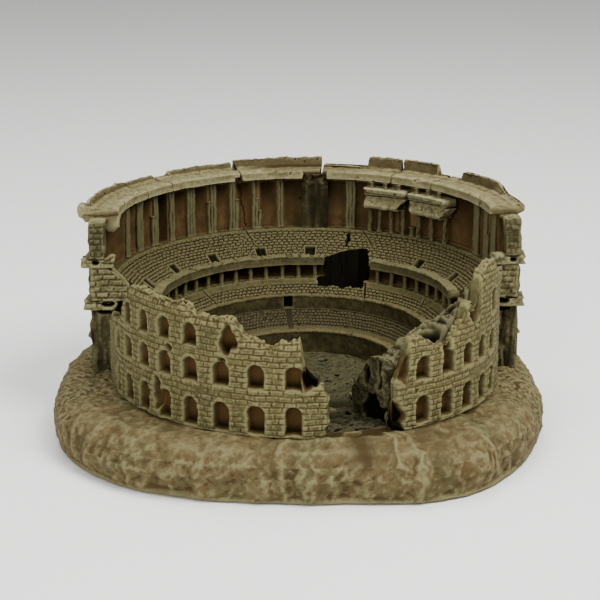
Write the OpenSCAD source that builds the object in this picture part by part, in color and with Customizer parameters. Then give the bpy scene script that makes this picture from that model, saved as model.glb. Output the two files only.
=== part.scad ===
// Miniature ruined amphitheatre: a round arena with tiered seating, one tall outer wall
// round the back, a lower arcaded wall round the front with a breach, and a rocky ground mound.
// Millimetres. +Z is up, the ring axis is Z, the breach faces -Y, and Z = 0 is the table.
// Angles are measured anticlockwise from +X, so 90 is the back and 270 the front.

/* [Ground] */
// Half width of the ground mound, across the object
mound_half_w = 60; // [58:0.5:64]
// Half depth of the ground mound, front to back
mound_half_d = 58; // [56:0.5:62]
// Height of the mound's flat top, where the walls stand
mound_top = 12.8; // [12:0.1:13.5]
// Radius of the felt pad
felt_r = 48; // [40:1:50]

/* [Bowl] */
// Radius of the arena, to the face of its podium wall
arena_r = 22; // [20:0.5:23]
// Height of the arena floor
floor_top = 10.2; // [9.5:0.1:11]
// Top of the podium wall
podium_top = 16; // [15:0.1:16.5]
// Top of the wall between lower and middle seating
middle_wall_top = 23.5; // [23.2:0.1:24]
// Top of the gallery parapet
parapet_top = 32.5; // [32:0.1:33]
// Height of the walk at the foot of the tall columns
walk_top = 37.2; // [36.8:0.1:37.5]

/* [Walls] */
// Outer radius of the front arcade wall
front_r = 47.5; // [47:0.1:48]
// Thickness of the front arcade wall
front_t = 3.2; // [2.8:0.1:3.4]
// Outer face radius of the tall wall
tall_r = 52.2; // [51.8:0.1:52.6]
// How far the cornices stand out from the tall wall
cornice_out = 1.6; // [1.2:0.1:1.8]
// Height of the roof slabs' underside
roof_under = 50.8; // [50:0.1:51.5]

/* [Hidden] */
$fn = 96;
lap = 1; // how far a cutter runs past the face it opens

// Ground
felt_t = 0.8;
mound_under = 0.4;          // the pad stands this far proud of the mound's underside
mound_shift = [-1.8, 2];    // the mound is not centred on the ring
mound_power = 2.5;          // superellipse exponent of the mound's plan
mound_swell = 0.06;         // how much the front right corner swells out
swell_angle = -58;          // where it swells, and how wide
swell_width = 17;
pocket_z = 9;               // bottom of the round pocket that the bowl is built in
front_in = front_r - front_t;
// Each layer of the mound is [height, size against the widest layer]
mound_layers = [[mound_under, 0.975], [2.5, 0.99], [6, 1], [9, 0.985], [11.5, 0.94], [mound_top, 0.885]];
slice = 0.1;                // thickness of each layer that the mound is blended through

// Bowl radii, from the arena outwards
podium_t = 2;
lower_out = 29.4;
middle_wall_t = 1.6;
middle_out = 38;
gallery_wall_out = 39.5;
parapet_in = 35;
parapet_out = 37.6;
gallery_floor = 26.2;
gallery_in = 35.2;
gallery_roof = 29.8;
upper_foot = 31.2;
core_r = 49.2;              // the tall wall's outer skin starts here
back_wall_in = 47.6;        // face of the wall behind the tall columns
walk_in = 45.8;             // inner edge of the walk that they stand on

// Spans, as [first angle, last angle]
arena_span = [-46, 262];
bowl_span = [-30, 262];
tall_span = [6, 178];
cave_span = [61, 82];       // the fallen-in part of the upper seating
cave_r = 41.5;
cave_lip = 35.7;            // inner edge of the hole, in the middle tier's ledge
cave_floor = 17;

// Tall wall storeys, as [bottom, top]
storey_1 = [mound_top, 19.5];
storey_2 = [21.5, 29];
storey_3 = [31, 39.5];
attic = [41.5, roof_under];
bays = 24;
bay = (tall_span[1] - tall_span[0]) / bays;

// Roof
roof_in = 45;
roof_out = 53.9;
roof_top = 53.2;
rim_lap = 0.2;              // how far the rim sinks into its slab
rim_in = 51.6;
// Each slab is [first angle, last angle, rim's first angle, rim's last angle, rim's top]
roof_slabs = [
    [151.4, 178, 152, 175, 55], [138.8, 151, 139.2, 150.6, 54.7], [112, 138.4, 113.4, 132.6, 55],
    [84.8, 111.6, 85.6, 110, 55.8], [60.4, 84.4, 60.8, 71.5, 56.6], [44.4, 60, 48.2, 59.6, 57.4],
    [6, 44, 10.5, 39.5, 56.8]
];

// Small columns
short_column_r = 0.6;
short_column_ring = 36.5;
short_column_step = 6.8;
tall_column_r = 0.65;
tall_column_ring = 46.9;
tall_column_step = 7.8;
first_tall_column = 98;
half_column_r = 0.62;

// Front arcade: arches crowd a little towards the ends of each wall
function left_arch_angle(k) = 270 - 3.3 - 10.4 * k + 0.16 * k * k;
function right_arch_angle(k) = 270 + 33.6 + 9.4 * k - 0.24 * k * k;
// Each row is [sill height, width, height to the crown]
front_rows = [[13.2, 4.1, 6.9], [23.3, 4.1, 5.6], [32.1, 3.7, 5]];
niche_depth = 1.9;

// The ruined tops of the front walls, as [from angle, to angle, top]
left_wall_steps = [
    [186, 200, 30], [200, 206, 36], [206, 225, 41.5], [225, 237, 41], [237, 252, 39],
    [252, 262, 33.5], [262, 269.5, 35], [269.5, 274, 26.5], [274, 277, 22.5]
];
right_wall_steps = [
    [294, 297, 24.5], [297, 305, 33.6], [305, 313, 30.5], [313, 320, 34.5],
    [320, 324, 38.2], [324, 328, 36], [328, 348, 45.4]
];

// One ring segment with a rectangular section
module band(r_in, r_out, z_low, z_high, span) {
    rotate_extrude(angle = span[1] - span[0], start = span[0])
        translate([r_in, z_low])
            square([r_out - r_in, z_high - z_low]);
}

// One ring segment with any section, given as [radius, height] points
module segment(section, span) {
    rotate_extrude(angle = span[1] - span[0], start = span[0])
        polygon(section);
}

// A round-headed cutter that goes depth into a wall whose face is at radius r
module arch_cutter(angle, r, sill, w, h, depth) {
    rotate([0, 0, angle])
        translate([r - depth, 0, sill]) {
            translate([0, -w / 2, 0])
                cube([depth + lap + 1, w, h - w / 2]);
            translate([0, 0, h - w / 2])
                rotate([0, 90, 0])
                    cylinder(h = depth + lap + 1, r = w / 2, $fn = 32);
        }
}

// A slender upright column on the ring of radius r
module column(angle, r, size, z_low, z_high) {
    rotate([0, 0, angle])
        translate([r, 0, z_low])
            cylinder(h = z_high - z_low, r = size, $fn = 20);
}

// The mound's plan: a superellipse in polar form, swollen at one corner
function mound_outline(size, n = 72) = [
    for (i = [0:n - 1])
        let (
            t = 360 * i / n - 180,
            across = pow(abs(cos(t)) / mound_half_w, mound_power),
            along = pow(abs(sin(t)) / mound_half_d, mound_power),
            swell = 1 + mound_swell * exp(-pow((t - swell_angle) / swell_width, 2)),
            r = size * swell * pow(across + along, -1 / mound_power)
        )
            [r * cos(t), r * sin(t)]
];

module felt_pad() {
    color("dimgray")
        cylinder(h = felt_t, r = felt_r);
}

module ground_mound() {
    color("tan")
        difference() {
            hull()
                for (layer = mound_layers)
                    translate([mound_shift[0], mound_shift[1],
                               layer[0] - (layer[0] == mound_top ? slice : 0)])
                        linear_extrude(slice)
                            polygon(mound_outline(layer[1]));
            translate([0, 0, mound_under - lap])
                cylinder(h = felt_t - mound_under + lap, r = felt_r);
            translate([0, 0, pocket_z])
                cylinder(h = mound_top, r = front_in);
        }
}

module arena_floor() {
    color("tan")
        translate([0, 0, pocket_z])
            cylinder(h = floor_top - pocket_z, r = arena_r);
}

breach_span = [262, 294];
path_step = 11.4;           // height of the level stretch half way along the path

module breach_path() {
    color("tan")
        segment([[arena_r, pocket_z], [front_in, pocket_z], [front_in, mound_top], [39, mound_top],
                 [35, path_step], [27, path_step], [arena_r, floor_top]], breach_span);
}

module podium_wall() {
    color("tan")
        band(arena_r, arena_r + podium_t, pocket_z, podium_top, arena_span);
}

module lower_seating() {
    color("tan")
        segment([[arena_r + podium_t, pocket_z], [lower_out, pocket_z], [lower_out, 19.7],
                 [arena_r + podium_t, podium_top - 0.4]], arena_span);
}

module middle_wall() {
    color("tan")
        band(lower_out, lower_out + middle_wall_t, pocket_z, middle_wall_top, bowl_span);
}

module middle_seating() {
    color("tan")
        difference() {
            segment([[lower_out + middle_wall_t, pocket_z], [middle_out, pocket_z],
                     [middle_out, gallery_floor], [gallery_in, gallery_floor],
                     [lower_out + middle_wall_t, middle_wall_top - 0.8]], bowl_span);
            band(cave_lip, middle_out + lap, cave_floor, gallery_floor + lap, cave_span);
        }
}

module short_colonnade_wall() {
    color("tan")
        difference() {
            band(middle_out, gallery_wall_out, pocket_z, gallery_roof, tall_span);
            band(middle_out - lap, gallery_wall_out + lap, cave_floor, gallery_roof + lap, cave_span);
        }
}

function in_cave(angle) = angle > cave_span[0] && angle < cave_span[1];

module short_columns() {
    color("tan")
        for (k = [0:23])
            let (angle = tall_span[0] + 5 + k * short_column_step)
                if (!in_cave(angle))
                    column(angle, short_column_ring, short_column_r, gallery_floor, gallery_roof);
}

module gallery_parapet(span) {
    color("tan")
        band(parapet_in, parapet_out, gallery_roof, parapet_top, span);
}

stair_mouths = [20, 42, 88, 107, 127, 147, 168];

module upper_seating() {
    color("tan")
        difference() {
            segment([[gallery_wall_out, pocket_z], [front_in, pocket_z], [front_in, mound_top],
                     [core_r, mound_top], [core_r, walk_top], [walk_in, walk_top],
                     [parapet_out, upper_foot], [parapet_out, gallery_roof],
                     [gallery_wall_out, gallery_roof]], tall_span);
            band(parapet_in, cave_r, cave_floor, walk_top + lap, cave_span);
            for (angle = stair_mouths)
                rotate([0, 0, angle])
                    translate([parapet_out + 0.4, -1.3, upper_foot - 0.9])
                        cube([3.4, 2.6, 6]);
        }
}

// One arcade of the tall wall, with a niche in the middle of each bay
module arcade(levels, w, h, rise) {
    color("tan")
        difference() {
            band(core_r, tall_r, levels[0], levels[1], tall_span);
            for (k = [0:bays - 1])
                arch_cutter(tall_span[0] + bay * (k + 0.5), tall_r, levels[0] + rise, w, h, 1.5);
        }
}

module attic_wall() {
    color("tan")
        difference() {
            band(core_r, tall_r, attic[0], attic[1], tall_span);
            for (k = [0:2:bays - 1])
                rotate([0, 0, tall_span[0] + bay * (k + 0.5)])
                    translate([tall_r - 1.2, -1, attic[0] + 3])
                        cube([3, 2, 2.6]);
        }
}

module cornice(z_low, z_high) {
    color("tan")
        segment([[core_r, z_low], [tall_r, z_low], [tall_r + cornice_out, z_low + 0.7],
                 [tall_r + cornice_out, z_high - 0.3], [tall_r + 0.5, z_high], [core_r, z_high]], tall_span);
}

// Slender columns that stand against the tall wall's face between the bays
module half_columns(levels) {
    color("tan")
        for (k = [1:bays - 1])
            column(tall_span[0] + bay * k, tall_r + half_column_r, half_column_r, levels[0], levels[1]);
}

module attic_pilasters() {
    color("tan")
        for (k = [1:bays - 1])
            band(tall_r, tall_r + 0.45, attic[0], attic[1],
                 [tall_span[0] + bay * k - 0.6, tall_span[0] + bay * k + 0.6]);
}

module colonnade_back_wall() {
    color("saddlebrown")
        band(back_wall_in, core_r, walk_top, roof_under, tall_span);
}

module tall_columns() {
    color("tan") {
        for (k = [0:8], side = [-0.95, 0.95])
            column(first_tall_column + k * tall_column_step + side, tall_column_ring, tall_column_r,
                   walk_top, roof_under);
        for (angle = [75, 24, 17, 11], side = [-0.95, 0.95])
            column(angle + side, tall_column_ring, tall_column_r, walk_top, roof_under);
    }
}

module broken_pier() {
    color("tan")
        band(walk_in, back_wall_in, walk_top, roof_under, [83, 90.5]);
}

// A roof slab, with a raised outer rim that is broken away near its ends
module roof_slab(slab) {
    color("tan") {
        band(roof_in, roof_out, roof_under, roof_top, [slab[0], slab[1]]);
        band(rim_in, roof_out, roof_top - rim_lap, slab[4], [slab[2], slab[3]]);
    }
}

balcony_in = 43.2;
balcony_left = [53.5, 69.5];
balcony_right = [35, 52.8];
balcony_upper = [47.5, 49.3];
balcony_lower = [44, 47];
post_ring = 46.5;
post_r = 0.6;

module balcony_upper_slab(span) {
    color("tan")
        band(balcony_in, back_wall_in, balcony_upper[0], balcony_upper[1], span);
}

module balcony_lower_slab(span) {
    color("tan")
        segment([[balcony_in + 1, balcony_lower[1]], [balcony_in, balcony_lower[0] + 1.2],
                 [balcony_in, balcony_lower[0]], [back_wall_in, balcony_lower[0]],
                 [back_wall_in, balcony_lower[1]]], span);
}

module balcony_mini_columns() {
    color("tan")
        for (angle = [67, 60, 52, 45, 38])
            column(angle, post_ring, post_r, balcony_upper[1], roof_under);
}

module balcony_posts() {
    color("tan") {
        for (angle = [68, 64.5, 60.5, 56, 50, 44.5, 38.5])
            column(angle, post_ring, post_r, walk_top, balcony_lower[0]);
        column(52.5, post_ring, post_r, walk_top, walk_top + 2.6);
    }
}

// Broken end of the tall wall: blocks stacked between projecting ledges
pier_in = 46.4;
attic_pier_in = 48.4;
ledge_in = 45.8;

module end_pier(span) {
    color("tan") {
        band(pier_in, tall_r, mound_top, storey_2[1], span);
        band(pier_in, tall_r, storey_3[0], storey_3[1], span);
        band(attic_pier_in, tall_r, attic[0], attic[1], span);
    }
}

module end_ledges(span) {
    color("tan") {
        band(ledge_in, tall_r + cornice_out, storey_2[1], storey_3[0], span);
        band(ledge_in, tall_r + cornice_out, storey_3[1], attic[0], span);
    }
}

// A front wall: stepped ruined top, and blind arches in rows wherever the wall is high enough
module front_wall(steps, angles) {
    color("tan")
        difference() {
            union()
                for (s = steps)
                    band(front_in, front_r, mound_top, s[2], [s[0], s[1]]);
            for (angle = angles, row = front_rows)
                arch_cutter(angle, front_r, row[0], row[1], row[2], niche_depth);
        }
}

module front_left_wall() {
    front_wall(left_wall_steps, [for (k = [0:7]) left_arch_angle(k)]);
}

module front_right_wall() {
    front_wall(right_wall_steps, [for (k = [0:4]) right_arch_angle(k)]);
}

// Sloping remains of the upper tiers behind the front walls
module left_rubble() {
    color("tan") {
        segment([[middle_out, pocket_z], [front_in, pocket_z], [front_in, 33], [middle_out, gallery_floor]],
                [178, 232]);
        segment([[middle_out, pocket_z], [front_in, pocket_z], [front_in, 28], [middle_out, 23]],
                [232, 262]);
    }
}

right_tip = 26;             // the right ruin reaches in this far at the breach

module right_rubble() {
    color("tan") {
        segment([[right_tip, pocket_z], [front_in, pocket_z], [front_in, 29.5], [36, 27.5], [30, 21],
                 [right_tip, 15]], [297, 305]);
        segment([[right_tip, pocket_z], [front_in, pocket_z], [front_in, 31], [36, 31], [31, 25],
                 [right_tip, 17]], [305, 314]);
        segment([[lower_out, pocket_z], [front_in, pocket_z], [front_in, 34], [37, 32], [32, 25],
                 [lower_out, 24.5]], [314, 330]);
        segment([[middle_out, pocket_z], [front_in, pocket_z], [front_in, 40], [middle_out, 33]],
                [330, 342]);
        segment([[middle_out, pocket_z], [front_in, pocket_z], [front_in, 36], [middle_out, 29.8]],
                [342, 366]);
    }
}

// Radial wall at the breach: its outline as [radius, height], and three openings
pier_outline = [
    [26, mound_top], [front_in, mound_top], [front_in, 28.5], [40, 28.5], [36, 27], [30, 20.5], [26, 15]
];
pier_t = 2.2;

module breach_pier() {
    color("tan")
        rotate([0, 0, 297])
            rotate([90, 0, 0])
                linear_extrude(pier_t)
                    difference() {
                        polygon(pier_outline);
                        translate([35, mound_top + 1])
                            circle(r = 3.6);
                        translate([33.5, 21])
                            circle(r = 1.7);
                        translate([38.2, 20.5])
                            square([3.2, 4]);
                        translate([39.8, 24.5])
                            circle(r = 1.6);
                    }
}

// Blocks that lie inside the breach, as [x, y, ground height, turn, length, height]
blocks = [
    [2, -42, mound_top, 12, 4.6, 3], [5, -31, path_step, 40, 4, 2.4],
    [-3, -31, path_step, 100, 3.6, 2.2], [12, -13, floor_top, 65, 3, 1.6]
];
block_depth = 2.2;

module fallen_blocks() {
    color("tan")
        for (b = blocks)
            translate([b[0], b[1], b[2]])
                rotate([0, 0, b[3]])
                    translate([-b[4] / 2, -block_depth / 2, 0])
                        cube([b[4], block_depth, b[5]]);
}

felt_pad();
ground_mound();
arena_floor();
breach_path();
podium_wall();
lower_seating();
middle_wall();
middle_seating();
short_colonnade_wall();
short_columns();
gallery_parapet([cave_span[1], tall_span[1]]);  // gallery_parapet_left
gallery_parapet([tall_span[0], cave_span[0]]);  // gallery_parapet_right
upper_seating();
arcade(storey_1, 3.4, 5.6, 0.2);  // storey_1_arcade
arcade(storey_2, 3.4, 5.8, 0.5);  // storey_2_arcade
arcade(storey_3, 3.4, 6, 0.8);  // storey_3_arcade
attic_wall();
cornice(storey_1[1], storey_2[0]);  // cornice_1
cornice(storey_2[1], storey_3[0]);  // cornice_2
cornice(storey_3[1], attic[0]);  // cornice_3
half_columns(storey_1);  // half_columns_1
half_columns(storey_2);  // half_columns_2
half_columns(storey_3);  // half_columns_3
attic_pilasters();
colonnade_back_wall();
tall_columns();
broken_pier();
roof_slab(roof_slabs[0]);  // roof_slab_1
roof_slab(roof_slabs[1]);  // roof_slab_2
roof_slab(roof_slabs[2]);  // roof_slab_3
roof_slab(roof_slabs[3]);  // roof_slab_4
roof_slab(roof_slabs[4]);  // roof_slab_5
roof_slab(roof_slabs[5]);  // roof_slab_6
roof_slab(roof_slabs[6]);  // roof_slab_7
balcony_upper_slab(balcony_left);  // balcony_upper_left
balcony_upper_slab(balcony_right);  // balcony_upper_right
balcony_lower_slab(balcony_left);  // balcony_lower_left
balcony_lower_slab(balcony_right);  // balcony_lower_right
balcony_mini_columns();
balcony_posts();
end_pier([tall_span[1], 183]);  // left_end_pier
end_ledges([tall_span[1], 183.6]);  // left_end_ledges
end_pier([1, tall_span[0]]);  // right_end_pier
end_ledges([0.4, tall_span[0]]);  // right_end_ledges
front_left_wall();
front_right_wall();
left_rubble();
right_rubble();
breach_pier();
fallen_blocks();
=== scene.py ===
# %% [markdown]
# # A ruined amphitheatre, small enough for a shelf
# The real object is a resin casting: sculpted once, moulded, and painted by hand. Its charm is in
# relief that is a fraction of a millimetre deep: brick joints, worn edges, pits and cracks.
# A flat texture can't give that relief a true outline, so every piece here is a dense surface
# worked out with numpy. The plain CAD solids give each piece its place and its size.

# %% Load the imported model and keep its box
from functools import partial
from types import SimpleNamespace

import bpy
import numpy as np
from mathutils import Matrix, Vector


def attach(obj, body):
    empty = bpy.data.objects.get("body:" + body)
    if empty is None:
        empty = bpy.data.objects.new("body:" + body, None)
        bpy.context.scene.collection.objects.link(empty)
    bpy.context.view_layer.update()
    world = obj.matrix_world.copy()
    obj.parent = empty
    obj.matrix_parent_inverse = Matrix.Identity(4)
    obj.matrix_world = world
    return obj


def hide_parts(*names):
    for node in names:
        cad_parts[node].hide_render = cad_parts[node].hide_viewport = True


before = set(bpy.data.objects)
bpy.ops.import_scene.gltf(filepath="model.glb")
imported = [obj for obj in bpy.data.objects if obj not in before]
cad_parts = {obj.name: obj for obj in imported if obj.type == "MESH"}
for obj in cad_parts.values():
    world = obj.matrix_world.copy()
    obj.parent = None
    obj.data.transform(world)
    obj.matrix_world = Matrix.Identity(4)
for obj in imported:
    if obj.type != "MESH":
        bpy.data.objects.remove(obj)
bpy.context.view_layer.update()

# %% [markdown]
# ## Reading sizes from the CAD rings
# Nearly every piece is part of a ring, so it is described by two radii, two heights and two
# angles. They are measured on the CAD node's own vertices. All shapes below are in millimetres
# and degrees, anticlockwise from +X, and turn into metres only when the mesh is written.

# %% Measure a ring
MM = 0.001


def node_points(node):
    """The node's vertices in millimetres, one row each."""
    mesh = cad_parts[node].data
    flat = np.empty(3 * len(mesh.vertices))
    mesh.vertices.foreach_get("co", flat)
    return flat.reshape(-1, 3) / MM


def ring_of(node):
    """Radii, heights and angles of a ring piece; the angles are counted from the piece's middle."""
    p = node_points(node)
    radius = np.hypot(p[:, 0], p[:, 1])
    middle = np.degrees(np.arctan2(p[:, 1].mean(), p[:, 0].mean()))
    if middle < -90:
        middle += 360
    angle = (np.degrees(np.arctan2(p[:, 1], p[:, 0])) - middle + 180) % 360 - 180 + middle
    return SimpleNamespace(
        r_in=radius.min(), r_out=radius.max(), low=p[:, 2].min(), high=p[:, 2].max(),
        first=angle.min(), last=angle.max(),
    )


tall = ring_of("storey_1_arcade")
walk = ring_of("upper_seating").high
print(f"tall wall: radius {tall.r_out:.1f}, from {tall.first:.0f} to {tall.last:.0f} degrees")
print(f"walk behind the top seats: height {walk:.1f}")

# %% [markdown]
# ## Steady randomness
# Worn stone needs noise. Blender has noise textures, but a mesh needs the numbers themselves, so
# this is value noise: each corner of a lattice of cells gets a number hashed from its place, and
# points between blend the eight corners by smooth steps. The same place always gets the same
# number, so the model comes out alike every time.

# %% Noise on whole arrays


def smooth(t):
    """Smooth step: 0 below 0, 1 above 1, and 3 t^2 - 2 t^3 between."""
    t = np.clip(t, 0, 1)
    return t * t * (3 - 2 * t)


def swell(angle, where, width):
    """A soft swelling, 1 at where: e to the power -((angle - where) / width)^2."""
    return np.exp(-(((angle - where) / width) ** 2))


def chance(i, j, k=0, seed=0):
    """A steady random number from 0 to 1 for each triple of whole numbers, by multiplying and mixing bits."""
    h = np.asarray(i, np.int64) * 73856093 ^ np.asarray(j, np.int64) * 19349663
    h = h ^ np.asarray(k, np.int64) * 83492791 ^ (seed * 2971215 + 514229)
    h = ((h ^ (h >> 13)) * 1274126177) & 0x7FFFFFFF
    return ((h ^ (h >> 15)) & 0xFFFF) / 65535


# A rotation off all three axes, so that cells keep their size and no joint runs along an axis.
TURNED = np.array([[0.8, 0.36, -0.48], [0.0, 0.8, 0.6], [0.6, -0.48, 0.64]])


def noise(x, y, z, size, seed=0):
    """Value noise from -1 to 1 with cells size millimetres wide, on a lattice turned off the axes."""
    place = np.stack(np.broadcast_arrays(x, y, z)).astype(float) / size
    place = np.tensordot(TURNED, place, 1)
    cell = np.floor(place)
    part = smooth(place - cell)
    cell = cell.astype(np.int64)
    total = 0
    for corner in range(8):
        step = [(corner >> axis) & 1 for axis in range(3)]
        weight = np.prod([part[a] if step[a] else 1 - part[a] for a in range(3)], axis=0)
        total = total + weight * chance(cell[0] + step[0], cell[1] + step[1], cell[2] + step[2], seed)
    return 2 * total - 1


def rough(x, y, z, size, seed=0, layers=3):
    """Layered noise: each layer has half the size and half the strength of the one before."""
    return sum(noise(x, y, z, size / 2**n, seed + n) / 2**n for n in range(layers))


print("noise sample:", np.round(noise(np.arange(4.0), 0.3, 0.7, 1.7), 3))

# %% [markdown]
# ## From a grid of points to a painted mesh
# A piece is one or more grids of points. Going one way the grid runs along the piece, going the
# other way it runs round its closed section. The function below joins the rows, closes the ends,
# turns all faces outwards and stores two marks on each vertex for the paint. "worn" is above one
# half on raised edges and below it in joints, found by comparing each point with the average of
# its neighbours, at three distances. "hollow" is 1 deep inside openings, which are painted with
# wash and near-black painted shade, and below 0 where fingers have rubbed a ledge pale.

# %% Grids into meshes
GRID = 0.24  # spacing of points on carved faces, in millimetres
made = []


def neighbour(grid, step, axis, wrap):
    """The grid moved by step rows; past an open edge the edge row repeats."""
    if wrap:
        return np.roll(grid, -step, axis)
    index = np.clip(np.arange(grid.shape[axis]) + step, 0, grid.shape[axis] - 1)
    return np.take(grid, index, axis)


def unit(v):
    """Vectors brought to length 1."""
    return v / np.maximum(np.linalg.norm(v, axis=-1, keepdims=True), 1e-9)


def worn_marks(points, poles, turn):
    """0.5 on flat faces, more where a point stands proud of its neighbours, less where it lies below them."""
    wrap_u, wrap_v = poles, not poles
    du = neighbour(points, 1, 0, wrap_u) - neighbour(points, -1, 0, wrap_u)
    dv = neighbour(points, 1, 1, wrap_v) - neighbour(points, -1, 1, wrap_v)
    normal = unit(np.cross(du, dv)) * turn
    proud = 0
    for step, share in ((1, 1.0), (2, 0.8), (5, 0.5)):
        around = [neighbour(points, s, a, w) for s in (step, -step) for a, w in ((0, wrap_u), (1, wrap_v))]
        reach = sum(np.linalg.norm(a - points, axis=-1) for a in around) / 4 + 1e-6
        proud = proud + share * np.sum((points - sum(around) / 4) * normal, axis=-1) / reach
    return np.clip(0.5 + 0.9 * proud, 0, 1)


def grid_faces(points, poles, start):
    """Corner indices of the quads, and the closing faces, of one grid whose first vertex has number start.

    Without poles each row is a closed section, and the first and last sections close the ends.
    With poles the grid is a full turn, and its first and last rings are closed by flat faces.
    """
    nu, nv = points.shape[:2]
    u = np.arange(nu if poles else nu - 1)[:, None]
    v = np.arange(nv - 1 if poles else nv)[None, :]
    u2, v2 = (u + 1) % nu, (v + 1) % nv
    corners = [u * nv + v, u2 * nv + v, u2 * nv + v2, u * nv + v2]
    quads = start + np.stack(np.broadcast_arrays(*corners), -1).reshape(-1, 4)
    if poles:
        ring = start + np.arange(nu) * nv
        return quads, [ring[::-1], ring + nv - 1]
    loop = start + np.arange(nv)
    return quads, [loop, (loop + (nu - 1) * nv)[::-1]]


def volume_of(points, poles):
    """Six times the volume inside the quads, by summing corner . (corner x corner) over the faces."""
    quads, caps = grid_faces(points, poles, 0)
    p = points.reshape(-1, 3) - points.reshape(-1, 3).mean(0)
    a, b, c, d = (p[quads[:, k]] for k in range(4))
    total = np.sum(a * np.cross(b, c)) + np.sum(a * np.cross(c, d))
    for cap in caps:
        fan = p[cap]
        total += np.sum(fan[0] * np.cross(fan[1:-1], fan[2:]))
    return total


def place_object(name, data):
    """A new object that holds the data, linked into the scene."""
    thing = bpy.data.objects.new(name, data)
    bpy.context.scene.collection.objects.link(thing)
    return thing


def write_piece(name, grids, material, nodes, body="root"):
    """Joins grids into one mesh object. Each grid is (points, poles, hollow)."""
    verts, quads, caps, worn, hollow, start = [], [], [], [], [], 0
    for points, poles, deep in grids:
        turn = 1 if volume_of(points, poles) > 0 else -1
        q, ends = grid_faces(points, poles, start)
        quads.append(q if turn > 0 else q[:, ::-1])
        caps += [end if turn > 0 else end[::-1] for end in ends]
        verts.append(points.reshape(-1, 3))
        worn.append(worn_marks(points, poles, turn).ravel())
        hollow.append(np.broadcast_to(deep, points.shape[:2]).ravel())
        start += points.shape[0] * points.shape[1]
    verts, quads = np.concatenate(verts), np.concatenate(quads)
    corners = np.concatenate([quads.ravel()] + caps)
    sizes = np.concatenate([np.full(len(quads), 4), [len(c) for c in caps]]).astype(np.int64)
    mesh = bpy.data.meshes.new(name)
    mesh.vertices.add(len(verts))
    mesh.vertices.foreach_set("co", (verts * MM).ravel())
    mesh.loops.add(len(corners))
    mesh.loops.foreach_set("vertex_index", corners.astype(np.int32))
    mesh.polygons.add(len(sizes))
    mesh.polygons.foreach_set("loop_start", (np.cumsum(sizes) - sizes).astype(np.int32))
    mesh.update(calc_edges=True)
    mesh.polygons.foreach_set("use_smooth", np.ones(len(sizes), bool))
    for label, values in (("worn", worn), ("hollow", hollow)):
        layer = mesh.attributes.new(label, "FLOAT", "POINT")
        layer.data.foreach_set("value", np.concatenate(values).astype(np.float32))
    piece = place_object(name, mesh)
    mesh.materials.append(material)
    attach(piece, body)
    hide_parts(*nodes)
    made.append(piece)
    triangles = int((sizes - 2).sum())
    print(f"{name}: {triangles} triangles, box {np.round(verts.min(0), 1)} to {np.round(verts.max(0), 1)}")


# %% [markdown]
# ## Paint
# The casting is painted in three passes: a brown wash that stays in the hollows, a dull olive
# body, and a pale tan that is dragged over with a nearly dry brush, so it catches raised edges,
# and upward faces a little more, which is partly a painted highlight from above. Each pass is a
# mask: the wash where "worn" is low or "hollow" is high, the dry brush where "worn" is high,
# both broken up by noise. Patches of moss lie between the body and the wash, and near-black
# painted shade covers all where "hollow" nears 1. All resin shares this recipe, so it is one
# node group, placed in each material with its own colours.

# %% Colours and small node helpers


def linear(red, green, blue):
    """A colour given as 0 to 255 screen values, as the linear light that shaders use."""
    c = np.array([red, green, blue]) / 255
    return tuple(np.where(c <= 0.04045, c / 12.92, ((c + 0.055) / 1.055) ** 2.4)) + (1.0,)


def add_node(tree, kind, inputs=None, **settings):
    """Adds a node, sets its properties and its inputs; an input is a value or another node's socket."""
    node = tree.nodes.new(kind)
    for key, value in settings.items():
        setattr(node, key, value)
    for key, value in (inputs or {}).items():
        socket = node.inputs[key]
        if isinstance(value, bpy.types.NodeSocket):
            tree.links.new(value, socket)
        else:
            socket.default_value = value
    return node


def math_node(tree, operation, a, b=0.0, clamp=False):
    """One Math node's result."""
    return add_node(tree, "ShaderNodeMath", {0: a, 1: b}, operation=operation, use_clamp=clamp).outputs[0]


def blend_node(tree, factor, a, b):
    """Colour a where factor is 0 and colour b where it is 1."""
    node = add_node(tree, "ShaderNodeMix", {"Factor": factor}, data_type="RGBA")
    for index, value in ((6, a), (7, b)):
        if isinstance(value, bpy.types.NodeSocket):
            tree.links.new(value, node.inputs[index])
        else:
            node.inputs[index].default_value = value
    return node.outputs[2]


def ramp_node(tree, value, low, high):
    """0 below low, 1 above high, smooth between; low may be the larger one, which turns it round."""
    inputs = {"Value": value, "From Min": low, "From Max": high}
    return add_node(tree, "ShaderNodeMapRange", inputs, interpolation_type="SMOOTHSTEP").outputs[0]


# %% The dry brush group


# Near-black painted shade for the deepest openings.
SHADE_BLACK = linear(9, 8, 4)
GRAIN_DEPTH = 0.00012  # height of the fine grain, in metres


def new_material(name):
    """A material, its node tree and its shader."""
    material = bpy.data.materials.new(name)
    material.use_nodes = True
    return material, material.node_tree, material.node_tree.nodes["Principled BSDF"]


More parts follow.
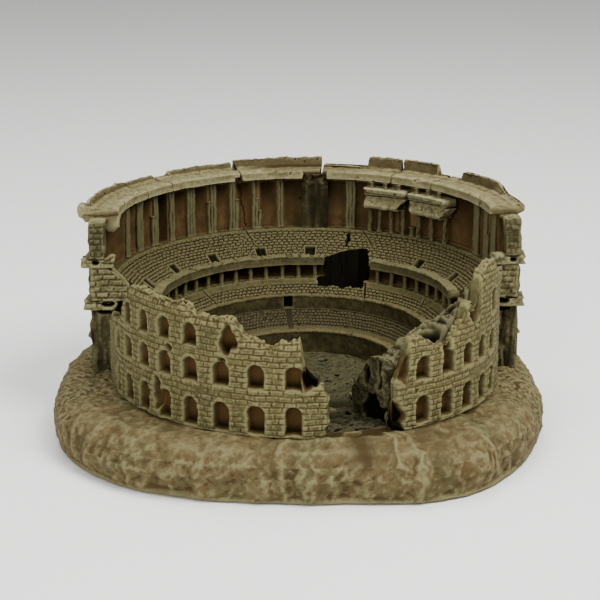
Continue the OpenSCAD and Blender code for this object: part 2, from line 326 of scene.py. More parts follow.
def dry_brush_group():
    """Wash, body and brush colours in; painted colour, roughness and fine grain height out."""
    tree = bpy.data.node_groups.new("dry_brush", "ShaderNodeTree")
    for kind, labels in (
        ("NodeSocketColor", ("Wash", "Body", "Brush", "Moss")),
        ("NodeSocketFloat", ("Brush Amount", "Moss Amount", "Wash Amount")),
    ):
        for label in labels:
            tree.interface.new_socket(label, in_out="INPUT", socket_type=kind)
    for label, kind in (("Color", "Color"), ("Roughness", "Float"), ("Height", "Float")):
        tree.interface.new_socket(label, in_out="OUTPUT", socket_type="NodeSocket" + kind)
    given = tree.nodes.new("NodeGroupInput").outputs
    place = add_node(tree, "ShaderNodeTexCoord").outputs["Object"]
    times, plus = partial(math_node, tree, "MULTIPLY"), partial(math_node, tree, "ADD")
    larger, minus = partial(math_node, tree, "MAXIMUM"), partial(math_node, tree, "SUBTRACT")
    ramp, blend = partial(ramp_node, tree), partial(blend_node, tree)

    def spots(scale, detail=3.0):
        """Noise with features about 1000 / scale millimetres wide."""
        inputs = {"Vector": place, "Scale": scale, "Detail": detail, "Roughness": 0.6}
        return add_node(tree, "ShaderNodeTexNoise", inputs).outputs["Fac"]

    worn = add_node(tree, "ShaderNodeAttribute", attribute_name="worn").outputs["Fac"]
    hollow = add_node(tree, "ShaderNodeAttribute", attribute_name="hollow").outputs["Fac"]
    patches, blotches, grain = spots(120.0), spots(520.0), spots(2400.0, 2.0)
    normal = add_node(tree, "ShaderNodeNewGeometry").outputs["Normal"]
    up = add_node(tree, "ShaderNodeSeparateXYZ", {0: normal}).outputs["Z"]
    grainy = plus(worn, times(minus(grain, 0.5), 0.5))
    # Upward faces catch a little more: partly dry brush, partly a painted highlight from above.
    brush_and_top_light = plus(grainy, times(up, 0.10))
    brush = times(ramp(brush_and_top_light, 0.52, 0.86), given["Brush Amount"], clamp=True)
    brush = times(brush, ramp(hollow, 0.7, 0.0))
    rubbed = times(ramp(hollow, 0.0, -1.0), ramp(blotches, 0.2, 0.5))
    brush = larger(brush, rubbed, clamp=True)
    stain = times(ramp(grainy, 0.50, 0.18), given["Wash Amount"])
    stain = times(stain, ramp(hollow, -0.8, 0.0))
    # Where hollow is high the colour turns to wash; deep inside openings this is painted shade.
    stain = larger(stain, ramp(hollow, 0.0, 0.7), clamp=True)
    moss = times(ramp(patches, 0.48, 0.62), given["Moss Amount"], clamp=True)
    colour = blend(times(ramp(blotches, 0.3, 0.75), 0.35), given["Body"], given["Brush"])
    colour = blend(moss, colour, given["Moss"])
    colour = blend(stain, colour, given["Wash"])
    colour = blend(brush, colour, given["Brush"])
    # Where hollow nears 1 the colour turns to near-black painted shade.
    colour = blend(ramp(hollow, 0.6, 1.0), colour, SHADE_BLACK)
    matt = larger(ramp(grain, -0.6, 1.3), ramp(hollow, 0.2, 0.7))
    height = plus(grain, times(blotches, 0.8))
    result = tree.nodes.new("NodeGroupOutput").inputs
    for label, value in (("Color", colour), ("Roughness", matt), ("Height", height)):
        tree.links.new(value, result[label])
    return tree


dry_brush = dry_brush_group()


def resin(name, wash, body, brush, moss, brush_amount=0.8, moss_amount=0.3, wash_amount=0.8):
    """A matte painted resin; its four colours are screen values."""
    material, tree, shader = new_material(name)
    paint = tree.nodes.new("ShaderNodeGroup")
    paint.node_tree = dry_brush
    for label, value in (("Wash", wash), ("Body", body), ("Brush", brush), ("Moss", moss)):
        paint.inputs[label].default_value = linear(*value)
    amounts = {"Brush Amount": brush_amount, "Moss Amount": moss_amount, "Wash Amount": wash_amount}
    for label, value in amounts.items():
        paint.inputs[label].default_value = value
    tree.links.new(paint.outputs["Color"], shader.inputs["Base Color"])
    tree.links.new(paint.outputs["Roughness"], shader.inputs["Roughness"])
    inputs = {"Height": paint.outputs["Height"], "Distance": GRAIN_DEPTH, "Strength": 0.8}
    relief = add_node(tree, "ShaderNodeBump", inputs)
    tree.links.new(relief.outputs["Normal"], shader.inputs["Normal"])
    shader.inputs["Specular IOR Level"].default_value = 0.03
    return material


# Each row: wash, body, brush and moss colours, then how much brush, moss and wash.
PAINT_ROWS = {
    "wall": ((62, 45, 23), (73, 68, 42), (111, 106, 72), (53, 53, 35), 0.8, 0.35),
    # The seat and arena colours are dark: partly the resin's own paint, partly painted shade for the inside
    # of the bowl.
    "seats": ((26, 22, 12), (50, 45, 26), (92, 86, 56), (37, 36, 22), 0.8, 0.3, 0.95),
    "ground": ((53, 42, 23), (80, 66, 41), (111, 106, 75), (73, 70, 45), 0.75, 0.6, 0.7),
    "roof": ((49, 38, 20), (97, 89, 59), (131, 126, 94), (78, 74, 48), 0.85),
    "niche": ((38, 27, 13), (77, 58, 33), (97, 84, 53), (50, 42, 22), 0.5, 0.5, 0.6),
    "arena": ((14, 14, 7), (49, 47, 30), (77, 74, 51), (34, 34, 23), 0.6, 0.5),
    "ruin": ((21, 17, 9), (58, 54, 34), (96, 92, 64), (41, 41, 30), 0.75, 0.6, 0.9),
    "parapet": ((34, 28, 13), (66, 60, 38), (97, 93, 64), (53, 50, 31), 0.6),
    "end": ((34, 28, 15), (80, 75, 48), (120, 115, 82), (54, 54, 37), 0.75, 0.5),
    # The lower seats take a darker copy of the seat colours, as painted shade deep in the bowl.
    "shaded_low_seats": ((26, 22, 12), (40, 36, 21), (72, 66, 43), (30, 29, 17), 0.8, 0.3, 0.95),
    "breach": ((12, 11, 7), (40, 38, 25), (68, 64, 44), (34, 34, 22), 0.6, 0.6),
    "shade": ((18, 15, 8), (46, 41, 23), (91, 84, 54), (34, 34, 22), 0.55, 0.5, 0.7),
}
PAINT = {name: resin(f"painted_{name}", *row) for name, row in PAINT_ROWS.items()}
print("materials:", [m.name for m in bpy.data.materials])

# %% [markdown]
# ## A profile carried round the ring
# Most pieces are one closed outline in the radius-height plane, carried round the ring like a
# sweep. Three functions can change it on the way: reshape moves points before carving (a ruined
# skyline), carve pushes each point along its own normal (bricks, arches, pits), and drift turns
# points a little round the ring (broken ends that aren't straight).

# %% The carved ring


def outline_points(corners):
    """Points along a closed outline. Each corner is (radius, height, spacing of the side after it)."""
    points, sides = [], []
    for k, (r, z, spacing) in enumerate(corners):
        r2, z2 = corners[(k + 1) % len(corners)][:2]
        count = max(1, int(np.ceil(np.hypot(r2 - r, z2 - z) / spacing)))
        t = np.arange(count)[:, None] / count
        points.append(np.array([[r, z]]) + t * np.array([[r2 - r, z2 - z]]))
        sides.append(np.full(count, k))
    return np.concatenate(points), np.concatenate(sides)


def section(ring, face, top, inner, under):
    """The four corners of a plain ring's section; the four numbers are the spacings of its sides."""
    return [
        (ring.r_out, ring.low, face), (ring.r_out, ring.high, top),
        (ring.r_in, ring.high, inner), (ring.r_in, ring.low, under),
    ]


def carved_ring(first, last, corners, carve, reshape=None, drift=None, spacing=GRID):
    """One grid: the outline at each angle, moved outwards along its normal by carve.

    carve gets angle, radius, height, side of the outline, x and y, and gives back how far each
    point moves and how hollow it is.
    """
    flat, side = outline_points(corners)
    reach = flat[:, 0].max()
    count = max(2, int(np.radians(last - first) * reach / spacing) + 1)
    angle = np.linspace(first, last, count)[:, None]
    r, z = np.broadcast_arrays(flat[None, :, 0], flat[None, :, 1])
    r, z = np.repeat(r, count, 0), np.repeat(z, count, 0)
    side = np.broadcast_to(side[None, :], r.shape)
    angle = np.broadcast_to(angle, r.shape)
    if reshape:
        r, z = reshape(angle, r, z, side)
    tr, tz = np.roll(r, -1, 1) - np.roll(r, 1, 1), np.roll(z, -1, 1) - np.roll(z, 1, 1)
    area = np.sum(flat[:, 0] * np.roll(flat[:, 1], -1) - flat[:, 1] * np.roll(flat[:, 0], -1))
    length = np.maximum(np.hypot(tr, tz), 1e-9) * np.sign(area)
    out, hollow = carve(angle, r, z, side, *spot(angle, r))
    r2, z2 = r + out * tz / length, z - out * tr / length
    turned = np.radians(angle + (drift(angle, r, z) if drift else 0))
    return np.stack([r2 * np.cos(turned), r2 * np.sin(turned), z2], -1), False, hollow


def spot(angle, r):
    """Flat x and y of a place on the ring."""
    return r * np.cos(np.radians(angle)), r * np.sin(np.radians(angle))


# %% [markdown]
# ## Masonry
# Courses of blocks: the height picks the course, every other course is shifted by half a block,
# and the distance to the nearest joint sets how deep the point lies. The joints wander with
# noise, each block stands a little proud or shy, and in places the joints are worn away.

# %% Blocks, arches and pits


def masonry(along, z, length, height, joint, seed):
    """1 on a block's face and 0 in a joint, and the block's own random number."""
    along = along + 0.22 * length * noise(along, z, seed, 2.2 * length, seed)
    z = z + 0.2 * height * noise(along, z, seed + 0.5, 2.4 * height, seed + 1)
    row = np.floor(z / height)
    place = along / length + 0.5 * row + 0.35 * chance(row, 7, seed=seed)
    column = np.floor(place)
    across, up = place - column, z / height - row
    gap = np.minimum(np.minimum(across, 1 - across) * length, np.minimum(up, 1 - up) * height)
    return smooth(gap / joint), chance(column, row, seed=seed)


def arch_depth(along, z, centres, sill, width, height):
    """Millimetres inside the nearest round-headed opening; negative outside."""
    spring = sill + height - width / 2
    inside = np.full(np.broadcast(along, z).shape, -9.0)
    for centre in centres:
        side = np.abs(along - centre)
        body = np.minimum(width / 2 - side, z - sill)
        head = width / 2 - np.hypot(side, z - spring)
        inside = np.maximum(inside, np.where(z > spring, head, body))
    return inside


def pits(x, y, z, size, share, seed):
    """1 in scattered pits, 0 between; share is how much of the surface they take."""
    return smooth((noise(x, y, z, size, seed) - 1 + 1.6 * share) / 0.25)


# %% [markdown]
# ## The ground
# The mound is a lump with a flat top: soft ridges run down its front as if it had been modelled
# with a wet finger, and its shoulders are gritty. It is a full turn from the pocket where the
# bowl stands, over the shoulder, and back under to the felt. Its plan and its side come from the
# CAD node: at each angle and height the radius is read from the CAD's own outline.

# %% Ground mound
mound_points = node_points("ground_mound")
pocket = ring_of("ground_mound")
pocket_low = node_points("arena_floor")[:, 2].min()
pad_r = np.hypot(*node_points("felt_pad")[:, :2].T).max()
front_in, wall_out = ring_of("front_left_wall").r_in, ring_of("front_left_wall").r_out
MOUND_LEVELS = np.array([12.8, 11.6, 9.1, 6.1, 2.5, 0.4])  # heights at which the CAD outline is read
MOUND_R = 56  # mean radius of the mound's side
TOP_ROWS, SIDE_ROWS = 33, 52  # rings of points over the top and down the side


def mound_layer(height, turn):
    """The mound's radius at each angle in turn, on the CAD layer nearest to height."""
    outer = mound_points[np.hypot(mound_points[:, 0], mound_points[:, 1]) > pad_r + 1]
    levels = np.unique(np.round(outer[:, 2], 2))
    ring = outer[np.abs(outer[:, 2] - levels[np.argmin(np.abs(levels - height))]) < 0.02]
    angle = np.degrees(np.arctan2(ring[:, 1], ring[:, 0]))
    order = np.argsort(angle)
    return np.interp(turn, angle[order], np.hypot(*ring[order, :2].T), period=360)


def ground_mound():
    """Rows of points from the pocket's middle, out over the top, down the side and back under."""
    turn = np.linspace(-180, 180, 860, endpoint=False)
    radii = np.stack([mound_layer(level, turn) for level in MOUND_LEVELS], 1)
    t = np.linspace(0, len(MOUND_LEVELS) - 1, SIDE_ROWS)
    side_z = np.interp(t, np.arange(len(MOUND_LEVELS)), MOUND_LEVELS)
    low = np.clip(t.astype(int), 0, len(MOUND_LEVELS) - 2)
    part = t - low
    side_r = radii[:, low] * (1 - part) + radii[:, low + 1] * part
    flat = np.linspace(0, 1, TOP_ROWS + 1)[:-1]
    top_r = pocket.r_in + (radii[:, :1] - pocket.r_in) * flat
    ones = np.ones((len(turn), 1))
    r = np.hstack([pocket.r_in * ones, pocket.r_in * ones, top_r, side_r, pad_r * ones, pad_r * ones])
    z = np.concatenate([[pocket_low, 11.5], np.full(TOP_ROWS, pocket.high), side_z, [0.4, 0.8]])
    z = np.repeat(z[None, :], len(turn), 0)
    first, last = 2 + TOP_ROWS, 2 + TOP_ROWS + SIDE_ROWS
    for _ in range(2):
        own, above, below = (z[:, first + k:last - 2 + k] for k in (0, -1, 1))
        z[:, first:last - 2] = (above + 2 * own + below) / 4
    x, y = spot(turn[:, None], r)
    points = np.stack([x, y, z], -1)
    shown = np.zeros(r.shape[1])
    shown[3:last] = 1
    shown[last - 4:last] = (0.8, 0.6, 0.4, 0.2)
    side = smooth((12.3 - z) / 4)
    front = smooth((-np.sin(np.radians(turn[:, None])) - 0.28) / 0.3)
    along = np.radians(turn)[:, None] * MOUND_R
    sway = 1.8 * noise(x, y, z, 6, 11) + 0.9 * noise(x, y, z, 2.3, 16)
    sway = sway + 0.25 * (MOUND_LEVELS[0] - z) * noise(along, 0.0, 0.0, 15, 17)
    flute = noise(along + sway, 0.16 * z, 3.3, 4.4, 12)
    thin = noise(along + sway, 0.3 * z, 5.0, 1.7, 18)
    broken = 0.45 + 0.55 * smooth((noise(x, y, z, 4.5, 19) + 0.5) / 0.6)
    crest = (1 - np.minimum(1.25 * np.abs(flute), 1)) ** 1.3 * broken
    fine = (1 - np.minimum(1.3 * np.abs(thin), 1)) * smooth((noise(x, y, z, 3.4, 20) + 0.4) / 0.5)
    knuckle = smooth((noise(along, 0.0, 0.0, 7.5, 21) + 0.35) / 0.9)
    lumps = rough(x, y, z, 7, 13, 3)
    grit = rough(x, y, z, 1.2, 14, 3)
    holes = pits(x, y, z, 1.4, 0.34, 15) * (1 - 0.95 * front)
    foot = smooth((3.2 - np.abs(r - tall.r_out * 0.93)) / 3)
    smeared = 0.75 * crest + 0.3 * fine + 0.75 * lumps + 0.35 * rough(x, y, z, 2.4, 22, 3) - 1.0
    swollen = (0.75 * knuckle - 0.3) * (1 - side) * smooth((r - wall_out) / 2.5)
    smeared = smeared * (0.45 + 0.55 * side) + swollen
    gritty = 0.35 * lumps + 0.3 * grit + 0.2 * crest * side - 0.1 - 0.35 * side
    lift = front * smeared + (1 - front) * gritty + 0.4 * foot * (1 - side)
    lift = (lift - 0.5 * holes) * shown
    du = np.roll(points, -1, 0) - np.roll(points, 1, 0)
    dv = np.gradient(points, axis=1)
    normal = unit(np.cross(du, dv))
    half_way = first + SIDE_ROWS // 2 - 1
    away = np.sum(normal[:, half_way] * points[:, half_way] * [1, 1, 0], -1)
    outward = np.where(away > 0, 1, -1)[:, None, None]
    points = points + lift[..., None] * normal * outward
    ridge = smooth((crest + 0.45 * fine - 0.5) / 0.35) * front
    tone = 0.24 * front * (1 - ridge) * smooth((0.25 - flute) / 0.5)
    tone = tone * smooth((noise(x, y, z, 5, 23) + 0.6) / 0.8)
    tone = tone - 0.55 * ridge * smooth((noise(x, y, z, 3, 24) + 0.3) / 0.7)
    # Painted shade: a dark band along the foot of the front walls, where they meet the mound.
    root = smooth((2.6 - (r - wall_out)) / 2.4) * front * (z > 10)
    root = root * smooth((noise(x, y, z, 3.5, 25) + 0.7) / 0.6)
    smudge = swell(turn[:, None], -76.5, 4.5) * smooth((z - 6) / 5) * shown
    # The mound's front also gets a little extra wash tone, as painted shade.
    tone = np.maximum(np.maximum(tone + 0.07 * front, 0.74 * root), 0.55 * smudge)
    edge = smooth((1.2 - z) / 0.5) * shown
    rubbed = np.where(edge > 0.3, -0.5 * edge, tone)
    return points, True, np.where(holes > 0.1, 0.45 * holes, rubbed)


write_piece("ground", [ground_mound()], PAINT["ground"], ["ground_mound"])

# %% [markdown]
# ## The ruined front walls
# A front wall is one outline carried round the ring: outer face, top, inner face. Its top follows
# a skyline of a few points, roughened by noise in steps of one course, and its two ends are
# pinched so that they look snapped and not sawn. Arches are blind: 2 mm deep and dark inside.

# %% Front walls
COURSE, BLOCK, JOINT = 1.32, 2.8, 0.3
ARCH_SINK = 2.0


def left_arch(k):
    """Angle of the left wall's arch number k, counted from the breach."""
    return 270 - 3.3 - 10.4 * k + 0.16 * k * k


def right_arch(k):
    """Angle of the right wall's arch number k, counted from the breach."""
    return -90 + 33.6 + 9.4 * k - 0.24 * k * k


def ruined_wall(name, node, skyline, rows, bites, seed, paint):
    """An arcaded wall with a broken top.

    rows are (sill, width, height, arch angles). bites are hollows: (angle, height, half width in
    degrees, half height, depth, share of near-black painted shade).
    """
    ring = ring_of(node)
    heights = np.array(skyline, float)
    mean_r = (ring.r_in + ring.r_out) / 2

    def reshape(angle, r, z, side):
        jag = 0.5 * noise(angle, 0.0, seed, 1.6, seed) + 0.3 * noise(angle, 0.0, seed, 0.5, seed + 1)
        top = np.interp(angle, heights[:, 0], heights[:, 1]) + jag
        z = ring.low + (z - ring.low) * (top - ring.low) / (ring.high - ring.low)
        end = np.minimum(angle - ring.first, ring.last - angle) * np.radians(1) * ring.r_out / 1.6
        pinch = np.sqrt(1 - (1 - np.clip(end, 0.02, 1)) ** 2)
        crown = 1 - 0.45 * smooth(1 - (top - z) / 1.8)
        return mean_r + (r - mean_r) * pinch * crown, z

    def drift(angle, r, z):
        ends = swell(angle, ring.first, 1.6) - swell(angle, ring.last, 1.6)
        return ends * 1.1 * (noise(z, 0.0, seed, 1.5, seed + 2) + 0.7)

    def carve(angle, r, z, side, x, y):
        along = np.radians(angle) * ring.r_out
        face, own = masonry(along, z, BLOCK, COURSE, JOINT, seed)
        fade = smooth((rough(x, y, z, 5, seed + 3, 2) + 0.75) / 0.5)
        skin_out = (-0.22 * (1 - face) + 0.16 * (own - 0.6) * face) * (0.45 + 0.55 * fade)
        skin_out = skin_out + 0.1 * rough(x, y, z, 0.9, seed + 4, 2) + 0.2 * noise(x, y, z, 6, seed + 5)
        inside = np.full(z.shape, -9.0)
        for sill, width, height, angles in rows:
            centres = np.radians(angles) * ring.r_out
            wobble = 0.15 * noise(x, y, z, 1.5, seed + 6)
            inside = np.maximum(inside, arch_depth(along, z, centres, sill, width, height) + wobble)
        painted_black = 0
        for where, height, wide, tall_half, in_depth, black_share in bites:
            oval = 1 - np.hypot((angle - where) / wide, (z - height) / tall_half)
            oval = oval + 0.35 * noise(x, y, z, 1.6, seed + 7)
            inside = np.maximum(inside, in_depth * oval)
            # Bites with a black share are painted near black, as shade in the hole.
            painted_black = np.maximum(painted_black, black_share * smooth(oval / 0.35))
        deep = smooth(inside / 0.55)
        lip = smooth((inside + 0.75) / 0.3) * (1 - deep)
        outer = skin_out * (1 - deep) + 0.08 * lip - ARCH_SINK * deep
        putlog = pits(x, y, z, 2.4, 0.115, seed + 8)
        outer = outer - 0.7 * putlog * (1 - deep)
        torn = pits(x, y, z, 2.2, 0.3, seed + 10)
        broken = 0.45 * rough(x, y, z, 1.7, seed + 9, 3) - 0.9 * torn
        out = np.where(side == 0, outer, np.where(side == 3, 0, broken))
        # Inside the blind arches the colour is painted shade, darker towards the sill.
        sill_gap = np.min([np.abs(z - sill) for sill, *_ in rows], axis=0)
        shade = deep * (0.6 + 0.32 * smooth((3.4 - sill_gap) / 3.2))
        dark = np.where(side == 0, np.maximum(shade, 0.5 * putlog), 0.7 * torn)
        return out, np.maximum(dark, painted_black)

    corners = section(ring, GRID, 0.3, 0.5, 1.6)
    grid = carved_ring(ring.first, ring.last, corners, carve, reshape, drift)
    write_piece(name, [grid], paint, [node])


left_skyline = [
    (186, 29), (203, 29.5), (206, 36), (210, 40.5), (216, 42), (222, 41), (235, 41.3), (238, 39.3),
    (245, 39), (250, 39.6), (253, 35.8), (261, 33.2), (263, 34.6), (268.5, 35), (270, 29),
    (272, 26.2), (275, 25), (277, 21.5),
]
left_rows = [
    (13.2, 4.1, 6.9, [left_arch(k) for k in range(8)]),
    (23.7, 4.2, 5.7, [left_arch(k) for k in range(8)]),
    (31.9, 3.8, 5.4, [left_arch(k) for k in range(3, 8)]),
]
# The last number of each bite is its share of near-black painted shade.
left_bites = [
    (248.6, 34.6, 2.9, 3.8, 1.6, 0.0), (271.5, 26.8, 2.9, 3.2, 1.5, 1.0),
    (224.4, 18.4, 2.0, 3.6, 1.2, 0.0), (229.2, 30.2, 1.5, 1.0, 0.6, 0.0),
    (246.8, 29.6, 1.4, 0.8, 0.5, 0.0),
]
ruined_wall("front_wall_left", "front_left_wall", left_skyline, left_rows, left_bites, 21, PAINT["wall"])

right_skyline = [
    (-66, 24), (-64.5, 26), (-62, 30), (-61, 33.5), (-57, 33.9), (-53.5, 32.2), (-51, 29.8),
    (-49, 30), (-46, 31.2), (-43, 33.5), (-40.5, 35), (-39, 38), (-37, 38.2), (-35, 36),
    (-33, 38.5), (-32, 43), (-30.5, 44.8), (-26, 45.4), (-22, 45.6), (-18, 43), (-12, 41),
]
right_rows = [
    (13.4, 4.1, 6.7, [right_arch(k) for k in range(5)]),
    (23.6, 4.1, 5.8, [right_arch(k) for k in range(5)]),
    (33.0, 3.8, 6.2, [right_arch(4)]),
]
# The last number of each bite is its share of near-black painted shade.
right_bites = [
    (-35.2, 36.5, 2.8, 4.4, 1.8, 0.0), (-47.6, 30.2, 1.8, 3.8, 1.6, 0.3),
    (-65.4, 15.2, 3.6, 4.8, 2.0, 1.0), (-62.6, 27.4, 1.9, 4.2, 1.5, 0.4),
]
ruined_wall("front_wall_right", "front_right_wall", right_skyline, right_rows, right_bites, 41, PAINT["wall"])

# %% [markdown]
# ## Tiers of seats
# Each tier is a sloping ring. The seats are cut like masonry lying on the slope, with a saw-tooth
# step at each row, so light from above draws fine bright lines. Stair mouths are square pits, and
# cracks are thin grooves along a wandering line.

# %% Seats and cracks
SEAT_R, CRACK_R, MOUTH_R = 40, 36, 39  # mean radii, which turn degrees into millimetres
SEAT_CLIMB, SEAT_ROUND = ((0.2, 0.22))  # spacing up the slope, and round
SEAT_BASE = 9.0  # height of the underside of the tiers
STAIR = 98.5  # angle of the stair channel


def crack(angle, height, start, end, width=0.22):
    """1 along a thin wandering line on the ring from start to end, each (angle, height)."""
    t = np.clip((height - start[1]) / (end[1] - start[1]), 0, 1)
    line = start[0] + (end[0] - start[0]) * t + 0.5 * noise(height, start[0], 0.0, 0.9, 71)
    off = np.abs(angle - line) * np.radians(1) * CRACK_R
    inside = (height > min(start[1], end[1])) & (height < max(start[1], end[1]))
    return smooth(1 - off / width) * inside


def seat_relief(angle, r, z, climb, seed, row=0.92, block=1.35):
    """Rows of blocks on a slope; climb is the distance up the slope in millimetres."""
    x, y = spot(angle, r)
    along = np.radians(angle) * SEAT_R
    face, own = masonry(along, climb, block, row, JOINT, seed)
    plain = smooth((noise(x, y, z, 8, seed + 1) - 0.35) / 0.3)
    saw = (climb / row) % 1 - 0.5
    lift = 0.24 * (face - 1) * (1 - 0.5 * plain) + 0.16 * (own - 0.5) * face - 0.16 * saw * (1 - plain)
    return lift + 0.1 * rough(x, y, z, 0.8, seed + 2, 2)


def tier(name, node, inner, outer, low, seed, material, extra=None, ledge=0.0, sink=None, under=None):
    """A seating ring whose top climbs from inner to outer, both (radius, height), down to low.

    sink(angle, r, z) is 1 where the top has fallen in, down to the cave's floor. under holds the
    corners of the underside where it isn't a plain step down to low.
    """
    ring = ring_of(node)
    slope = np.hypot(outer[0] - inner[0], outer[1] - inner[1])
    corners = [(*inner, SEAT_CLIMB), (*outer, 0.3)]
    if ledge:
        corners.append((outer[0] + ledge, outer[1], 2.0))
    corners += [(outer[0] + ledge, low, 3.0)] + (under or [(inner[0], low, 1.5)])

    def carve(angle, r, z, side, x, y):
        climb = np.hypot(r - inner[0], z - inner[1])
        out = np.where(side == 0, seat_relief(angle, r, z, climb, seed), 0.0)
        hollow = np.zeros(z.shape)
        if ledge:
            out = np.where(side == 1, 0.12 * rough(x, y, z, 1.2, seed + 5), out)
        if extra:
            out, hollow = extra(angle, r, z, side, out, hollow, climb / slope)
        if sink:
            gone = sink(angle, r, z)
            # The cave and a rim round it are painted near black, as shade.
            out, hollow = out * (1 - gone), np.where(sink(angle, r, z, 0.3) > 0.1, 1.0, hollow)
        return out, hollow

    def reshape(angle, r, z, side):
        if not sink:
            return r, z
        floor_z = CAVE_FLOOR + 0.5 * (side <= 1)
        return r, np.where(z > floor_z, z + (floor_z - z) * sink(angle, r, z), z)

    grid = carved_ring(ring.first, ring.last, corners, carve, reshape, spacing=SEAT_ROUND)
    write_piece(name, [grid], material, [node])


gallery, parapet = ring_of("short_colonnade_wall"), ring_of("gallery_parapet_left")
CAVE = (74.6, 10.2)  # middle angle and half width of the fallen-in part
CAVE_FRONT, CAVE_BACK, CAVE_FLOOR = 33.7, 41.3, 17.5  # its radii and the height of its floor
MOUTHS = [20, 42, 88, 107, 127, 147, 168]  # angles of the stair mouths


def fallen_in(angle, r, z, grow=0.0):
    """1 in the cave, with a ragged edge.

    The cave starts at CAVE_FRONT and closes at CAVE_BACK on its right, and sooner towards its left.
    grow widens it by so many millimetres, for the near-black painted shade on its rim.
    """
    x, y = spot(angle, r)
    back_r = CAVE_BACK - 0.21 * np.clip(angle - CAVE[0] + 8, 0, 20)
    wide = CAVE[1] * smooth((back_r + grow - r) / 1.4) ** 0.4
    edge = wide - np.abs(angle - CAVE[0]) + 1.3 * noise(x, y, 0.0, 2.2, 81)
    edge = edge + 0.7 * noise(x, y, 0.0, 0.8, 82)
    front = r + grow - CAVE_FRONT + 0.5 * noise(x, y, 0.0, 1.6, 83)
    return smooth((edge + 1.5 * grow) / 0.4) * smooth(front / 0.3)


UPPER_FOOT = 31.2  # height of the lowest upper seat


def upper_extra(angle, r, z, side, out, hollow, part):
    """Stair mouths, two cracks and the plain walk at the top."""
    climb = np.hypot(r - 37.6, z - UPPER_FOOT)
    for mouth in MOUTHS:
        across = np.abs(angle - mouth) * np.radians(1) * MOUTH_R
        pit = smooth((1.35 - across) / 0.25) * smooth((climb - 0.5) / 0.3) * smooth((4.0 - climb) / 0.4)
        rim = smooth((1.7 - across) / 0.2) * smooth((4.4 - climb) / 0.3) * (side == 0)
        out = np.where(side == 0, out * (1 - rim) + 0.1 * rim - 1.5 * pit, out)
        hollow = np.maximum(hollow, 0.72 * pit * (side == 0))
    kerb = smooth((part - 0.93) / 0.03) * (side == 0) + (side == 1)
    out = out * (1 - kerb) + kerb * 0.14 * rough(*spot(angle, r), z, 2.0, 68)
    hollow = np.where(kerb > 0.5, -0.7, hollow)
    split = crack(angle, z, (110.5, 37.4), (106.5, 31.5))
    split = np.maximum(split, crack(angle, z, (71, 37.4), (65.5, 34.4)))
    return out - 0.6 * split * (side == 0), np.maximum(hollow, 0.9 * split)


seat_foot = [
    (gallery.r_out, SEAT_BASE, 1.5), (gallery.r_out, gallery.high, 0.6),
    (parapet.r_out, gallery.high, 0.5),
]
tier("seats_upper", "upper_seating", (parapet.r_out, UPPER_FOOT), (45.8, walk), SEAT_BASE, 61,
     PAINT["seats"], upper_extra, ledge=3.4, sink=fallen_in, under=seat_foot)


def middle_extra(angle, r, z, side, out, hollow, part):
    """A smooth strip under the little columns, and stair grooves."""
    x, y = spot(angle, r)
    strip = smooth((part - 0.62) / 0.12)
    out = np.where(side == 0, out * (1 - strip) + 0.08 * rough(x, y, z, 1.5, 64) * strip, out)
    groove = np.zeros(z.shape)
    for where in (28, 62, 137, 172):
        line = where + 2.6 * (part - 0.5) + 0.3 * noise(z, where, 0.0, 1.0, 65)
        groove = np.maximum(groove, smooth(1.6 - np.abs(angle - line) * 2.6))
    pale = -0.35 * strip * (side == 0)
    return out - 0.45 * groove * (side == 0), np.where(groove > 0.1, 0.7 * groove * (side == 0), pale)


tier("seats_middle", "middle_seating", (31.0, 22.7), (35.2, 26.2), SEAT_BASE, 62, PAINT["seats"],
     middle_extra, ledge=2.8, sink=fallen_in)


def lower_extra(angle, r, z, side, out, hollow, part):
    """A plain kerb at the foot, a stair channel and a broken patch at the right."""
    x, y = spot(angle, r)
    kerb = smooth((0.2 - part) / 0.06)
    channel = smooth((1.7 - np.abs(angle - STAIR)) / 0.4)
    broken = smooth((16 - np.hypot(angle + 24, (part - 0.2) * 30)) / 6)
    pale = -0.6 * kerb * (side == 0)
    out = np.where(side == 0, out * (1 - kerb) * (1 - channel) - 0.25 * channel + 0.1 * kerb, out)
    out = out + broken * 0.8 * rough(x, y, z, 2.0, 67) * (side == 0)
    dark = np.maximum(0.35 * channel * (side == 0), broken * 0.5)
    return out, np.where(channel + broken > 0.1, dark, pale)


tier("seats_lower", "lower_seating", (24.0, 15.6), (29.4, 19.7), SEAT_BASE, 63,
     PAINT["shaded_low_seats"], lower_extra)

# %% Ring walls between the tiers


def ring_wall(name, node, seed, material, more=None, wear=0.35, sink=None):
    """A low wall with a softly chipped, rubbed top edge. more adds its own doors and cracks."""
    ring = ring_of(node)
    span = ring.high - ring.low
    corners = [
        (ring.r_in, ring.low, 1.2), (ring.r_out, ring.low, 2.0),
        (ring.r_out, ring.high, 0.3), (ring.r_in, ring.high, GRID),
    ]

    def reshape(angle, r, z, side):
        ragged = 0.5 * noise(angle, 0.0, seed, 2.4, seed) + 0.5 * noise(angle, 0.0, seed, 0.8, seed + 1)
        z = ring.low + (z - ring.low) * (span + wear * (ragged - 0.6)) / span
        if sink:
            z = np.where(z > CAVE_FLOOR, z + (CAVE_FLOOR - z) * sink(angle, r, z), z)
        return r, z

    def carve(angle, r, z, side, x, y):
        edge = smooth((z - ring.high + 0.9) / 0.5)
        out = 0.16 * rough(x, y, z, 2.6, seed + 2, 3) - 0.1 + 0.18 * edge
        hollow = -0.6 * smooth((z - ring.high + 0.7) / 0.3)
        if more:
            out, hollow = more(angle, r, z, side, out, hollow)
        if sink:
            # The cave and a rim round it are painted near black, as shade.
            hollow = np.where(sink(angle, r, z, 0.3) > 0.1, 1.0, hollow)
        return out, hollow

    grid = carved_ring(ring.first, ring.last, corners, carve, reshape)
    write_piece(name, [grid], material, [node])


